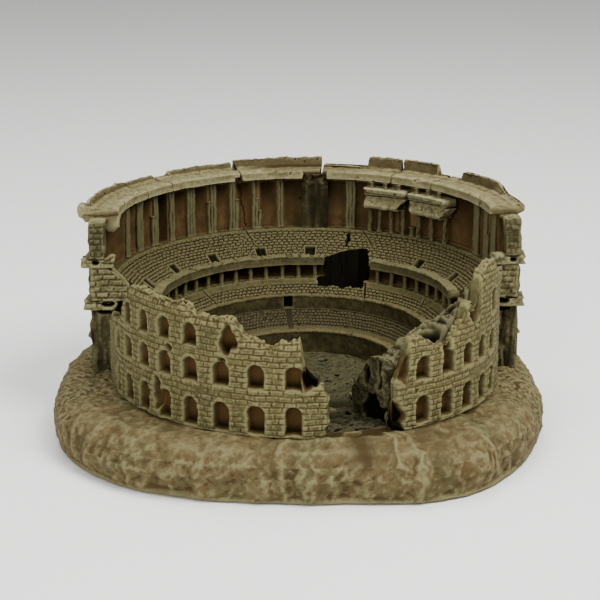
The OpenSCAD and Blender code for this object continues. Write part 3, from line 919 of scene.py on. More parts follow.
def podium_more(angle, r, z, side, out, hollow):
    """Two long cracks in the podium wall."""
    split = np.maximum(crack(angle, z, (62, 16.2), (16, 10)), crack(angle, z, (-8, 16.2), (-12, 10)))
    return out - 0.35 * split, np.where(split > 0.05, 0.9 * split, hollow)


def middle_wall_more(angle, r, z, side, out, hollow):
    """A doorway over the stair channel; the chips along the top come from ring_wall's wear."""
    across = np.abs(angle - STAIR) * np.radians(1) * r
    door = smooth((1.2 - across) / 0.3) * smooth((z - 19.9) / 0.3)
    door = door * smooth((23.0 - z) / 0.4) * (side == 3)
    # The doorway is painted near black inside, as shade.
    return out - 1.2 * door, np.where(door > 0.05, door, hollow)


ring_wall("podium", "podium_wall", 91, PAINT["shade"], podium_more)
ring_wall("wall_middle", "middle_wall", 95, PAINT["shade"], middle_wall_more, wear=0.5)
ring_wall("parapet_left", "gallery_parapet_left", 101, PAINT["parapet"], wear=0.6)
ring_wall("parapet_right", "gallery_parapet_right", 105, PAINT["parapet"], wear=0.6)


def gallery_more(angle, r, z, side, out, hollow):
    """The wall behind the little columns is dark between them and browner just above its foot."""
    return out, 0.62 - 0.3 * smooth((gallery.high - 2.4 - z) / 1.2)


ring_wall("gallery_wall", "short_colonnade_wall", 109, PAINT["niche"], gallery_more,
          sink=fallen_in)

# %% Arena floor and breach path


def floor_disc():
    """A closed disc whose top is pitted ground, darker towards the breach."""
    ring = ring_of("arena_floor")
    turn = np.linspace(0, 360, 620, endpoint=False)[:, None]
    rings = 92
    radius = np.concatenate([np.linspace(0.2, ring.r_out, rings), [ring.r_out]])[None, :]
    x, y = spot(turn, radius)
    top = np.concatenate([np.ones(rings), [0]])[None, :] * np.ones_like(turn)
    holes = pits(x, y, 0.0, 1.5, 0.3, 121) + pits(2 * x, y, 4.0, 1.6, 0.26, 123)
    relief = 0.3 * rough(x, y, 0.0, 3, 122, 4) - 0.15 - 0.5 * holes
    z = ring.low + (ring.high - ring.low) * top + top * relief
    shaded = 0.5 * smooth((-y - 9 + 2 * noise(x, y, 0.0, 5, 124)) / 9)
    return np.stack([x, y, z], -1), True, np.maximum(0.8 * np.clip(holes, 0, 1), shaded) * top


write_piece("arena", [floor_disc()], PAINT["arena"], ["arena_floor"])


def breach_ground():
    """The path through the breach: it climbs from the arena to the mound, pitted all over."""
    ring = ring_of("breach_path")
    corners = [
        (ring.r_in, 10.2, 0.3), (27, 11.4, 0.3), (35, 11.4, 0.3), (39, 12.8, 0.3),
        (ring.r_out, 12.8, 2), (ring.r_out, 9, 4), (ring.r_in, 9, 2),
    ]

    def carve(angle, r, z, side, x, y):
        holes = pits(x, y, z, 1.9, 0.34, 131)
        out = 0.55 * rough(x, y, z, 3.2, 132, 4) - 0.7 * holes
        return np.where(side <= 3, out, 0), np.where(side <= 3, 0.85 * holes, 0)

    return carved_ring(ring.first - 1.5, ring.last + 1.5, corners, carve)


write_piece("breach_floor", [breach_ground()], PAINT["breach"], ["breach_path"])

# %% [markdown]
# ## Little columns
# A column is a stack of rings: the radius follows a shaft that flares into a base and a capital,
# and noise eats into it. The tall columns under the roof are clusters of thin eroded ribs.
# All the columns of a row are separate closed grids in one mesh.

# %% Columns


def column(angle, ring_r, radius, low, high, seed, flare=0.35, lean=0.0, sides=14, rows=22, eaten=0.12):
    """Rings from foot to top: radius times 1 + flare near both ends, moved and eaten by noise."""
    turn = np.linspace(0, 2 * np.pi, sides, endpoint=False)[:, None]
    t = np.linspace(0, 1, rows)[None, :]
    z = low + (high - low) * t
    end = np.minimum(t, 1 - t) * (high - low)
    size = radius * (1 + flare * smooth(1 - end / 0.7))
    cx, cy = spot(angle, ring_r)
    size = size + eaten * rough(cx + 3 * np.cos(turn), cy + 3 * np.sin(turn), z, 1.4, seed, 2)
    sway = lean * noise(z, cx, cy, 3.0, seed + 3)
    x = cx + size * np.cos(turn) + sway * -np.sin(np.radians(angle))
    y = cy + size * np.sin(turn) + sway * np.cos(np.radians(angle))
    return np.stack([x, y, z * np.ones_like(turn)], -1), True, 0.0


short = ring_of("short_columns")
short_ring = (short.r_in + short.r_out) / 2
short_grids = [
    column(angle, short_ring, 0.5, short.low - 0.2, short.high, 140, 0.5)
    for angle in tall.first + 5 + 6.8 * np.arange(24) if abs(angle - CAVE[0]) > CAVE[1]
]
write_piece("columns_short", short_grids, PAINT["seats"], ["short_columns"])

back = ring_of("colonnade_back_wall")
rib_ring = back.r_in - 0.35
clusters = [98 + 7.8 * k for k in range(9)] + [75, 24, 17, 11]


def rib_cluster(angle, number):
    """Two or three ribs side by side; some are broken off part of the way up."""
    ribs = 2 + int(chance(number, 3) > 0.45)
    tall_part = back.high - back.low
    grids = []
    for k in range(ribs):
        place = angle + (k - (ribs - 1) / 2) * 1.02
        whole = chance(number, 11, k) > 0.14
        high = back.high if whole else back.low + tall_part * (0.35 + 0.4 * chance(number, 12, k))
        radius = 0.36 + 0.14 * chance(number, 13, k)
        grids.append(column(place, rib_ring, radius, back.low, high, 150 + 7 * k, 0.5, 0.16, 12, 44, 0.13))
    return grids


rib_grids = [grid for number, angle in enumerate(clusters) for grid in rib_cluster(angle, number)]
write_piece("columns_tall", rib_grids, PAINT["parapet"], ["tall_columns"])
print("ribs:", len(rib_grids), "short columns:", len(short_grids))

# %% The wall behind the tall columns, and the broken pier


def colonnade_wall():
    """Brown niches: the face sinks in a cove between the clusters of ribs, under a flat frame."""
    corners = section(back, 1.5, 5, 0.28, 1.5)
    ribs = np.array(clusters + [87, 68, 60, 53, 46])

    def carve(angle, r, z, side, x, y):
        away = np.min(np.abs(angle[..., None] - ribs), -1)
        cove = np.sqrt(smooth((away - 1.1) / 1.9)) * (1 - smooth((z - back.high + 1.5) / 0.7))
        split = np.maximum(crack(angle, z, (111, 49), (109, 37)), crack(angle, z, (91.5, 45), (89, 41)))
        inner = side == 2
        out = 0.14 * rough(x, y, z, 3, 161, 2) - 0.85 * cove - 0.3 * split
        # Painted shade: the coves darken towards the top, under the roof, and the niche at 140.5 degrees is
        # darker still; the niche at 156 degrees is painted paler, as a pool of light.
        dark = 0.16 + 0.34 * cove * smooth((z - back.low - 3) / 9) + 0.2 * smooth(noise(x, y, z, 7, 162))
        for niche, darker in ((140.5, 0.4), (156, -0.25)):
            dark = dark + darker * smooth(1.6 - np.abs(angle - niche) / 2.4)
        pale = -0.5 * (1 - smooth((away - 0.9) / 0.5)) * (1 - cove)
        hollow = np.where(away < 1.2, pale, np.maximum(dark, split))
        return np.where(inner, out, 0), np.where(inner, hollow, 0)

    return carved_ring(back.first, back.last, corners, carve, spacing=0.28)


write_piece("colonnade_wall", [colonnade_wall()], PAINT["niche"], ["colonnade_back_wall"])


def lumpy(seed, amount, size, dark_share):
    """A carving rule for broken masonry: layered noise and dark pits on every side."""

    def carve(angle, r, z, side, x, y):
        holes = pits(x, y, z, size, dark_share, seed + 1)
        return amount * rough(x, y, z, size, seed, 4) - 0.8 * amount * holes, 0.8 * holes

    return carve


pier = ring_of("broken_pier")
pier_corners = [
    (pier.r_in - 0.1, pier.low, 0.3), (pier.r_in - 0.6, pier.high + 1.3, 0.3),
    (pier.r_out, pier.high + 1.0, 1), (pier.r_out, pier.low, 1),
]


def pier_carve(angle, r, z, side, x, y):
    """Soft upright ridges, swelling into lumps at the broken top, darkened all over."""
    top = smooth((z - pier.high + 2.5) / 1.5)
    upright = noise(angle, 0.15 * z, 0.0, 1.5, 171)
    out = 0.3 * upright + 0.7 * top * rough(x, y, z, 2.0, 172, 3) - 0.2
    return out, 0.26 + 0.2 * smooth(-upright * 2) + 0.25 * top * pits(x, y, z, 1.6, 0.4, 173)


pier_grid = carved_ring(pier.first - 0.6, pier.last + 0.6, pier_corners, pier_carve)
write_piece("pier_broken", [pier_grid], PAINT["shade"], ["broken_pier"])

# %% [markdown]
# ## The roof
# The roof is a ring of slabs, each a shallow channel that curls up into a thin lip at the outer
# edge. The lip is broken away in places, so its height follows a mask along the ring. Narrow
# ragged gaps part the slabs.

# %% Roof slabs
ROOF_DECK = 52.85  # height of the channel's inner edge
LIP_END, BITE, NOTCH, BROWN = 17, 86.7, 112.8, 88  # angles of the roof's marks
HANGING = 173.5  # from this angle on, the torn end of the roof hangs down


def roof_slab(number):
    """One slab: fascia, channel, and a thin lip between the angles where the CAD node has its rim."""
    node = f"roof_slab_{number}"
    ring = ring_of(node)
    p = node_points(node)
    turn = np.degrees(np.arctan2(p[:, 1], p[:, 0]))
    rim = turn[p[:, 2] > ring.high - 0.1]
    deck, top, out_r = ROOF_DECK, ring.high - 0.15, ring.r_out - 0.15
    step = 0.26
    corners = [
        (ring.r_in, ring.low, step), (ring.r_in, 51.7, step), (ring.r_in + 0.05, 51.95, step),
        (ring.r_in + 0.15, deck, step), (46.2, deck + 0.3, step), (50.4, deck + 0.1, step),
        (51.7, deck + 0.6, step), (52.35, top - 0.4, 0.24), (52.6, top, 0.24), (53.2, top - 0.1, step),
        (53.5, 53.1, step), (out_r, 52.7, step), (out_r, 51.5, 0.3), (52.4, ring.low, 1.6),
    ]
    lip_first = rim.min() - 5 * (rim.min() < ring.first + 2)
    lip_last = rim.max() + 5 * (rim.max() > ring.last - 2)
    lip_share = 0.78 if ring.last < 80 else 0.97

    def kept(angle):
        """1 where the lip still stands, ragged at both of its ends; it dies away towards the right end."""
        jag = 0.8 * noise(angle, number, 0.0, 1.1, 181) + 0.4 * noise(angle, number, 0.5, 0.4, 187)
        stands = smooth(np.minimum(angle - lip_first, lip_last - angle) * 0.8 + jag + 0.5)
        return stands * smooth((angle - LIP_END) / 7)

    def reshape(angle, r, z, side):
        crest = 0.3 * noise(angle, number, 1.0, 1.6, 182) + 0.2 * noise(angle, number, 1.0, 0.5, 188) - 0.35
        lip = (z - deck - 0.35) * (0.06 + 0.94 * kept(angle)) * lip_share + crest * (z > top - 0.5)
        z = np.where(z > deck + 0.35, deck + 0.35 + np.maximum(lip, 0), z)
        hang = 2.3 * smooth((angle - HANGING - 0.7) / 2.0) * (z < 51.0) * (r < 49)
        return r, z - hang

    def drift(angle, r, z):
        wear = 0.22 * (1 + noise(r, z, number, 1.4, 183)) + 0.18 * noise(r, z, number, 0.5, 189)
        return (swell(angle, ring.first, 0.8) - swell(angle, ring.last, 0.8)) * wear

    def carve(angle, r, z, side, x, y):
        out = 0.16 * rough(x, y, z, 2.4, 184, 3) - 0.08
        bite = smooth((4.2 - np.abs(angle - BITE)) / 0.8 + 0.5 * noise(x, y, z, 1.3, 185)) * (side <= 3)
        notch = smooth((1.3 - np.abs(angle - NOTCH)) / 0.3) * (side <= 1)
        chips = pits(x, y, z, 1.2, 0.17, 186) + pits(x, y, z, 2.6, 0.22, 190) * (side <= 3)
        stub = smooth((angle - 172.5) / 1.2) * smooth((178.5 - angle) / 1.5) * (side >= 10)
        hung = smooth((angle - HANGING) / 1.0) * (z < 51.5) * (side != 13)
        out = out - 1.5 * bite - 1.3 * notch - 0.35 * chips + 1.5 * stub
        out = out + 0.55 * hung * rough(x, y, z, 1.8, 191, 3)
        # Painted shade on the inner face of the lip and on the rising side of the channel.
        lip_inner_shade = ((side == 6) | (side == 7)) * kept(angle)
        tone = -0.4 + 0.3 * (side == 5) + 0.85 * lip_inner_shade + 0.8 * np.clip(chips, 0, 1)
        tone = tone + 0.75 * smooth(1.5 - np.abs(angle - BROWN) / 20) * ((side >= 3) & (side <= 5))
        return out, np.maximum(tone, 0.8 * np.maximum(bite, notch))

    grid = carved_ring(ring.first, ring.last, corners, carve, reshape, drift, spacing=0.28)
    write_piece(f"roof_{number}", [grid], PAINT["roof"], [node])


for slab_number in range(1, 8):
    roof_slab(slab_number)

# %% [markdown]
# ## The balcony fragment
# Two shelves on posts, split down the middle, hang in front of the colonnade.

# %% Balcony


def shelf(name, node, profile, seed, cuts=(0.0, 0.0)):
    """A chipped shelf. profile lists its inner face as (radius, height) shares; cuts slant its ends."""
    ring = ring_of(node)
    height = ring.high - ring.low
    face = [(ring.r_in + depth, ring.low + share * height, 0.24) for depth, share in profile]
    corners = [(ring.r_out, ring.low, 0.3)] + face + [(ring.r_out, ring.high, 2.0)]

    def drift(angle, r, z):
        near_first, near_last = swell(angle, ring.first, 1.5), swell(angle, ring.last, 1.5)
        fall = (ring.high - z) / height
        jag = 0.4 * (1 + noise(r, z, seed, 1.1, seed))
        return near_first * (jag + cuts[0] * fall) - near_last * (jag + cuts[1] * fall)

    def carve(angle, r, z, side, x, y):
        chips = pits(x, y, z, 1.1, 0.2, seed + 1)
        pale = -0.5 * (side == len(face)) - 0.4 * (side <= 1)
        return 0.16 * rough(x, y, z, 1.5, seed + 2, 3) - 0.3 * chips, np.where(chips > 0.3, 0.5, pale)

    grid = carved_ring(ring.first, ring.last, corners, carve, drift=drift, spacing=0.26)
    write_piece(name, [grid], PAINT["roof"], [node])


UPPER_FACE = [(0.7, 0.0), (0.6, 0.25), (0.15, 0.4), (0.1, 0.9), (0.4, 1.0)]
LOWER_FACE = [(0.3, 0.0), (0.1, 0.25), (0.35, 0.4), (1.5, 0.95), (1.6, 1.0)]
shelf("shelf_upper_left", "balcony_upper_left", UPPER_FACE, 191)
shelf("shelf_upper_right", "balcony_upper_right", UPPER_FACE, 194)
shelf("shelf_lower_left", "balcony_lower_left", LOWER_FACE, 197, (4.0, 0.0))
shelf("shelf_lower_right", "balcony_lower_right", LOWER_FACE, 201, (3.0, 1.5))

mini, posts = ring_of("balcony_mini_columns"), ring_of("balcony_posts")
post_ring = (posts.r_in + posts.r_out) / 2
mini_grids = [
    column(angle, post_ring - 1.6, 0.42, mini.low - 0.1, mini.high, 205, 0.5, rows=10)
    for angle in (67, 62, 57, 50, 45, 40)
]
write_piece("columns_mini", mini_grids, PAINT["seats"], ["balcony_mini_columns"])
post_grids = [
    column(angle, post_ring - 0.4, 0.5, posts.low, posts.high, 207, 0.5, 0.3, rows=26, eaten=0.2)
    for angle in (68, 64.5, 60.5, 56, 50, 44.5, 38.5)
]
stump_top = posts.low + 2.6
post_grids.append(column(52.5, post_ring - 0.4, 0.55, posts.low, stump_top, 209, 0.6, 0.2, rows=14))
write_piece("posts", post_grids, PAINT["seats"], ["balcony_posts"])

# %% [markdown]
# ## The tall outer wall
# Three storeys of blind arches between half columns, each under a cornice, and an attic with
# small windows. It is the part that the front view hides, and it is built with the same care.

# %% Outer storeys
BAYS = 24
bay = (tall.last - tall.first) / BAYS
bay_middles = tall.first + bay * (np.arange(BAYS) + 0.5)
bay_edges = tall.first + bay * np.arange(1, BAYS)


def storey(name, node, rise, arch_height, seed):
    """A ring of masonry with one blind arch in each bay."""
    ring = ring_of(node)
    corners = section(ring, GRID, 1.5, 4, 1.5)

    def carve(angle, r, z, side, x, y):
        along = np.radians(angle) * ring.r_out
        face, own = masonry(along, z, 2.4, 1.25, 0.32, seed)
        centres = np.radians(bay_middles) * ring.r_out
        inside = arch_depth(along, z, centres, ring.low + rise, 3.4, arch_height)
        inside = inside + 0.12 * noise(x, y, z, 1.5, seed + 1)
        deep = smooth(inside / 0.5)
        lip = smooth((inside + 0.7) / 0.25) * (1 - deep)
        blocks = -0.2 * (1 - face) + 0.14 * (own - 0.6)
        out = blocks * (1 - deep) * (1 - 0.7 * lip) + 0.14 * lip - 1.5 * deep
        out = out + 0.1 * rough(x, y, z, 1.1, seed + 2, 2)
        # Inside the blind arches the colour is painted near black, as shade.
        return np.where(side == 0, out, 0), np.where(side == 0, 0.92 * deep, 0)

    grid = carved_ring(ring.first, ring.last, corners, carve, spacing=0.27)
    write_piece(name, [grid], PAINT["wall"], [node])


storey("storey_lower", "storey_1_arcade", 0.2, 5.6, 211)
storey("storey_middle", "storey_2_arcade", 0.5, 5.8, 215)
storey("storey_upper", "storey_3_arcade", 0.8, 6.0, 219)


def attic():
    """The attic: a low base course, square windows in every other bay, and brackets between."""
    ring = ring_of("attic_wall")
    corners = section(ring, GRID, 1.5, 4, 1.5)

    def carve(angle, r, z, side, x, y):
        along = np.radians(angle) * ring.r_out
        face, own = masonry(along, z, 2.2, 1.2, 0.3, 223)
        middles = np.radians(bay_middles) * ring.r_out
        away = np.min(np.abs(along[..., None] - middles[::2]), -1)
        window = smooth(np.minimum(1.0 - away, 1.3 - np.abs(z - ring.low - 4.3)) / 0.3)
        away_odd = np.min(np.abs(along[..., None] - middles[1::2]), -1)
        bracket = smooth(np.minimum(0.45 - away_odd, 0.6 - np.abs(z - ring.low - 6.2)) / 0.25)
        base = smooth((ring.low + 1.2 - z) / 0.2)
        out = -0.2 * (1 - face) + 0.12 * (own - 0.6) + 0.1 * rough(x, y, z, 1.1, 224, 2)
        out = out * (1 - window) - 1.2 * window + 0.7 * bracket + 0.25 * base
        # The windows are painted near black inside, as shade.
        return np.where(side == 0, out, 0), np.where(side == 0, 0.92 * window, 0)

    return carved_ring(ring.first, ring.last, corners, carve, spacing=0.27)


write_piece("attic", [attic()], PAINT["wall"], ["attic_wall"])


def cornice(name, node, seed):
    """A moulded course: a cove below, a flat nose, a sloping top, and chips along the nose."""
    ring = ring_of(node)
    wall_r = tall.r_out
    corners = [
        (ring.r_in, ring.low, 1.5), (wall_r, ring.low, 0.26), (wall_r + 0.5, ring.low + 0.3, 0.26),
        (wall_r + 0.9, ring.low + 0.8, 0.26), (ring.r_out - 0.1, ring.low + 1.0, 0.26),
        (ring.r_out - 0.1, ring.high - 0.35, 0.26), (wall_r + 0.4, ring.high, 0.3), (ring.r_in, ring.high, 4),
    ]

    def carve(angle, r, z, side, x, y):
        chips = pits(x, y, z, 2.0, 0.22, seed)
        moved = 0.14 * rough(x, y, z, 1.8, seed + 1, 3) - 0.5 * chips - 0.08
        shown = r > wall_r - 0.1
        return np.where(shown, moved, 0), np.where(shown, 0.45 * chips, 0)

    grid = carved_ring(ring.first, ring.last, corners, carve, spacing=0.3)
    write_piece(name, [grid], PAINT["roof"], [node])


for level in (1, 2, 3):
    cornice(f"course_{level}", f"cornice_{level}", 227 + 3 * level)
    half = ring_of(f"half_columns_{level}")
    grids = [
        column(angle, tall.r_out + 0.42, 0.55, half.low, half.high, 240 + level, 0.32, rows=30)
        for angle in bay_edges
    ]
    write_piece(f"engaged_columns_{level}", grids, PAINT["wall"], [f"half_columns_{level}"])

pilaster = ring_of("attic_pilasters")
pilaster.r_in -= 0.3  # set into the attic wall


def pilaster_grid(angle):
    """One flat pilaster on the attic."""
    corners, carve = section(pilaster, 0.4, 0.5, 0.5, 0.5), lumpy(251, 0.06, 1.6, 0.05)
    return carved_ring(angle - 0.6, angle + 0.6, corners, carve, spacing=0.28)


write_piece("pilasters", [pilaster_grid(a) for a in bay_edges], PAINT["wall"], ["attic_pilasters"])

# %% [markdown]
# ## Broken ends
# Where the tall wall stops, its section shows: courses of brick, brown hollows and the torn ends
# of the cornices. Each is a thick plate that stands on a radius of the ring. Its grid runs
# outwards along the radius one way, and up the face, over the top and down the back the other.

# %% Radial plates


def radial_plate(face, rear, r0, r1, low, top, carve, seed, jag=0.5):
    """A plate between two angles: carve(r, z) pushes the face out, and noise tears its edges."""
    u = np.linspace(0, 1, max(3, int((r1 - r0) / GRID)))[:, None]
    radius = r0 + (r1 - r0) * u
    crest = top(radius) if callable(top) else np.full(radius.shape, float(top))
    rise, deep, down = max(4, int((crest.max() - low) / GRID)), 6, 8
    over = np.linspace(0, 1, deep + 2)[1:-1]
    back_down = np.linspace(1, 0, down)
    up = np.concatenate([np.linspace(0, 1, rise), np.ones(deep), back_down, np.zeros(deep)])[None, :]
    back_over = np.linspace(1, 0, deep + 2)[1:-1]
    across = np.concatenate([np.zeros(rise), over, np.ones(down), back_over])[None, :]
    z = low + (crest - low) * up
    edge = 2 * np.abs(u - 0.5)
    radius = radius + jag * (edge**6) * noise(z, radius * 0, seed, 1.6, seed) + 0 * z
    torn = jag * 0.8 * noise(radius, across * 3, seed, 1.5, seed + 1) * smooth((up - 0.9) / 0.1)
    z = z + torn - 0.3 * jag * smooth((up - 0.9) / 0.1)
    out, hollow = carve(radius, z)
    on_face = (across < 0.01) * 1.0
    sign = np.sign(face - rear)
    turned = np.radians(face + (rear - face) * across)
    rounding = 0.5 * smooth((edge - 0.86) / 0.14)
    push = sign * (out * on_face - rounding * (across < 0.3))
    x = radius * np.cos(turned) - push * np.sin(turned)
    y = radius * np.sin(turned) + push * np.cos(turned)
    return np.stack([x, y, z], -1), False, hollow * on_face


def brick_end(seed, grooves=0.0, holes=(), stain=0.0, bricks=1.0):
    """Face rule for a broken end: big bricks, or upright grooves, with dark oval holes."""

    def carve(r, z):
        face, own = masonry(r, z, 3.2, 1.45, 0.4, seed)
        brick = (-0.35 * (1 - face) + 0.35 * (own - 0.5) * face) * bricks
        upright = noise(r * 1.6, z * 0.25, seed, 1.3, seed + 1)
        wave = 0.5 * np.abs(upright) - 0.3
        out = brick * (1 - grooves) + wave * grooves * 1.4 + 0.22 * rough(r, z, seed, 1.6, seed + 2, 3)
        out = out + 0.8 * (1 - bricks) * rough(r, z, seed, 4.0, seed + 4, 3)
        dark = stain + 0.3 * grooves * smooth(-upright * 2)
        # The holes are sunk and painted near black, as shade.
        for hole_r, hole_z, half_r, half_z in holes:
            oval = 1 - np.hypot((r - hole_r) / half_r, (z - hole_z) / half_z)
            oval = oval + 0.3 * noise(r, z, seed, 1.4, seed + 3)
            deep = smooth(oval / 0.3)
            out, dark = out * (1 - deep) - 1.6 * deep, np.maximum(dark, deep)
        return out, dark

    return carve


def wall_end(side, pier_node, ledge_node, face, rear, seed, bricks):
    """Stacked plates and ledges at one end of the tall wall; the brick courses reach in to the seats."""
    p, ledge = ring_of(pier_node), ring_of(ledge_node)

    def brick_top(r):
        """The brick courses climb with the seats behind them."""
        return np.interp(r, [42.6, 44.5, 46.5, 48], [34.2, 36.6, 38.6, 39.5])

    recess = [(48.6, 28.4, 2.2, 0.9)]
    # Each row: inner radius, foot, top, seed, then the grooves, holes and stain of its face.
    plates = [
        radial_plate(face, rear, r_in, p.r_out, low, top, brick_end(number, *look, bricks), number)
        for r_in, low, top, number, *look in (
            (p.r_in, p.low, 29.0, seed, 0.85, recess, 0.42),
            (42.6, 31.0, brick_top, seed + 5, 0.0, (), 0.2),
            (48.4, 41.5, p.high, seed + 9, 0.2, (), 0.36),
        )
    ]
    write_piece(f"{side}_end", plates, PAINT["end"], [pier_node])
    out_angle = face + 0.6 * np.sign(face - rear)
    carve = brick_end(seed + 13, 0.2, [(50.5, 40.6, 0.9, 0.7), (48.0, 30.2, 2.0, 0.8)], 0.0, bricks)
    ledges = [
        radial_plate(out_angle, rear, ledge.r_in, ledge.r_out, low, high, carve, seed + 13, 1.1)
        for low, high in ((28.9, 31.1), (39.4, 41.6))
    ]
    write_piece(f"{side}_ledges", ledges, PAINT["end"], [ledge_node])


wall_end("left", "left_end_pier", "left_end_ledges", 182.8, 178.0, 261, 0.9)
wall_end("right", "right_end_pier", "right_end_ledges", 1.2, 6.0, 281, 0.45)

# %% [markdown]
# ## Ruined masses
# Behind the front walls the tiers have collapsed into rubble. Its top is a height over the ring:
# a few given heights, made into uneven ledges, with dark hollows where noise is high.

# %% Rubble


def ruin_mass(name, node, shape, seed, hollows=0.3, extra=None):
    """shape rows are (angle, inner radius, height there, middle radius, height, height at the wall)."""
    table = np.array(shape, float)
    low, outer = pocket_low, front_in
    count = int(np.radians(table[-1, 0] - table[0, 0]) * outer / GRID)
    angle = np.linspace(table[0, 0], table[-1, 0], count)[:, None]
    r_in, z_in, r_mid, z_mid, z_out = (np.interp(angle, table[:, 0], table[:, k]) for k in range(1, 6))
    t = np.linspace(0, 1, 70)[None, :]
    r = r_in + (outer - r_in) * t
    x, y = spot(angle, r)
    before = np.clip((r - r_in) / (r_mid - r_in), 0, 1)
    after = np.clip((r - r_mid) / (outer - r_mid), 0, 1)
    z = z_in + (z_mid - z_in) * before**0.8 + (z_out - z_mid) * after
    step = 1.7  # height of one ledge
    level = z / step + 0.5 * noise(x, y, 0.0, 4, seed)
    ledged = (np.floor(level) + smooth((level % 1) / 0.35)) * step - 0.5 * step
    z = 0.4 * z + 0.6 * ledged + 0.45 * rough(x, y, 0.0, 2.2, seed + 1, 3)
    # Deep hollows are sunk and painted dark: partly wash, partly painted shade.
    deep = smooth((noise(x, y, 0.0, 3.4, seed + 2) - 1 + 1.6 * hollows) / 0.3)
    deep = deep * smooth(3 * t) * smooth(3 * (1 - t) + 0.3)
    if extra:
        deep = np.maximum(deep, extra(angle, r))
    z = np.maximum(z - 2.4 * deep, low + 2)
    rise = np.linspace(0, 1, 36)[:-1][None, :]
    inner_z = low + (z[:, :1] - low) * rise
    ix, iy = spot(angle, r_in + 0 * rise)
    inner_r = r_in + 0.6 * rough(ix, iy, inner_z, 2.4, seed + 3, 3) * np.sin(np.pi * rise) ** 0.3
    inner_hollow = 0.8 * pits(ix, iy, inner_z, 2.6, 0.3, seed + 4)
    inner_r = inner_r + 0.9 * inner_hollow
    fall = np.linspace(1, 0, 8)[None, 1:]
    outer_z = low + (z[:, -1:] - low) * fall
    under = np.linspace(1, 0, 5)[None, 1:-1]
    radii = np.hstack([inner_r, r, outer + 0 * outer_z, r_in + (outer - r_in) * under])
    heights = np.hstack([inner_z, z, outer_z, low + 0 * under * r_in])
    dark = np.hstack([inner_hollow, deep, 0 * outer_z, 0 * under * r_in])
    points = np.stack([*spot(angle, radii), heights], -1)
    write_piece(name, [(points, False, dark)], PAINT["ruin"], [node])


left_shape = [
    (178, 38, 29, 41, 31, 36), (184, 38, 27, 41, 29, 33), (206, 38, 26.5, 41, 28, 33),
    (232, 38, 26.3, 41, 27.5, 33), (246, 38, 24, 41, 25, 29), (256, 38, 20, 41, 21, 27),
    (262, 38, 16, 41, 17, 23),
]
ruin_mass("rubble_left", "left_rubble", left_shape, 301)
right_shape = [
    (-63, 26, 15, 36, 26, 28.5), (-57, 26, 17, 36, 29, 31), (-50, 27, 20, 36, 31, 30),
    (-45.5, 29.5, 23, 37, 32, 33), (-38, 29.8, 24.5, 37, 33, 36.5), (-31, 32, 26, 38, 34.5, 42),
    (-27, 38, 31, 40, 34, 42), (-18, 38, 30, 40, 33, 40), (-8, 38, 29.8, 40, 31, 37),
    (6, 38, 29.8, 41, 32, 36),
]


def right_hollows(angle, r):
    """Three big hollows in the right ruin, each an oval of (angle, radius, half width, half depth)."""
    deep = 0
    for where, radius, wide, far in ((-47.5, 41.5, 2.6, 3.2), (-37, 40.5, 3.4, 2.4), (-54, 33.5, 3.2, 1.8)):
        deep = np.maximum(deep, smooth((1 - np.hypot((angle - where) / wide, (r - radius) / far)) / 0.35))
    return deep


ruin_mass("rubble_right", "right_rubble", right_shape, 321, 0.24, right_hollows)

# %% Breach pier


def pier_top(r):
    """The pier climbs from its tip to the wall."""
    return np.interp(r, [25.5, 27, 30, 33, 36, 40, 44.3], [15, 17.5, 21, 24.5, 27.2, 28.6, 28.8])


# The cave and two holes in the breach pier, painted near black as shade.
cave_holes = [(38.2, 13.4, 6.2, 5.6), (33.6, 22.6, 2.2, 2.9), (40.6, 24.4, 2.0, 4.4)]
pier_carving = brick_end(341, 0.0, cave_holes, 0.25, 0.2)
pier_plate = radial_plate(-66.0, -62.9, 25.8, front_in, 11.0, pier_top, pier_carving, 341, 0.8)
write_piece("breach_wall", [pier_plate], PAINT["ruin"], ["breach_pier"])

# %% Fallen blocks
# Each row: x, y, height of the foot, turn in degrees, length, height.
BLOCKS = [
    (2, -42, 12.6, 12, 4.6, 3.0), (5, -31, 11.3, 40, 4.0, 2.4),
    (-3, -31, 11.3, 100, 3.6, 2.2), (12, -13, 10.1, 65, 3.0, 1.6),
]


def block_grid(x0, y0, z0, turn, length, height, seed):
    """A rough block: a sphere squared off by taking roots of its sines and cosines, then eaten by noise."""
    u = np.linspace(0, 2 * np.pi, 40, endpoint=False)[:, None]
    v = np.linspace(-1.45, 1.45, 24)[None, :]

    def square(c):
        return np.sign(c) * np.abs(c) ** 0.45

    x = 0.5 * length * square(np.cos(u)) * square(np.cos(v))
    y = 1.1 * square(np.sin(u)) * square(np.cos(v))
    z = 0.5 * height * (1 + square(np.sin(v))) + 0 * u
    eaten = 1 + 0.16 * rough(x + x0, y + y0, z, 1.6, seed, 3)
    x, y = x * eaten, y * eaten
    cos, sin = np.cos(np.radians(turn)), np.sin(np.radians(turn))
    points = np.stack([x0 + x * cos - y * sin, y0 + x * sin + y * cos, z0 + z], -1)
    return points, True, 0.0


block_grids = [block_grid(*row, 351 + k) for k, row in enumerate(BLOCKS)]
write_piece("loose_blocks", block_grids, PAINT["ruin"], ["fallen_blocks"])

# %% [markdown]
# ## Felt pad
# Castings of this kind stand on a glued felt disc. It is a thin full turn with a soft edge, and
# its material is a fuzzy cloth, not resin.

# %% Felt pad


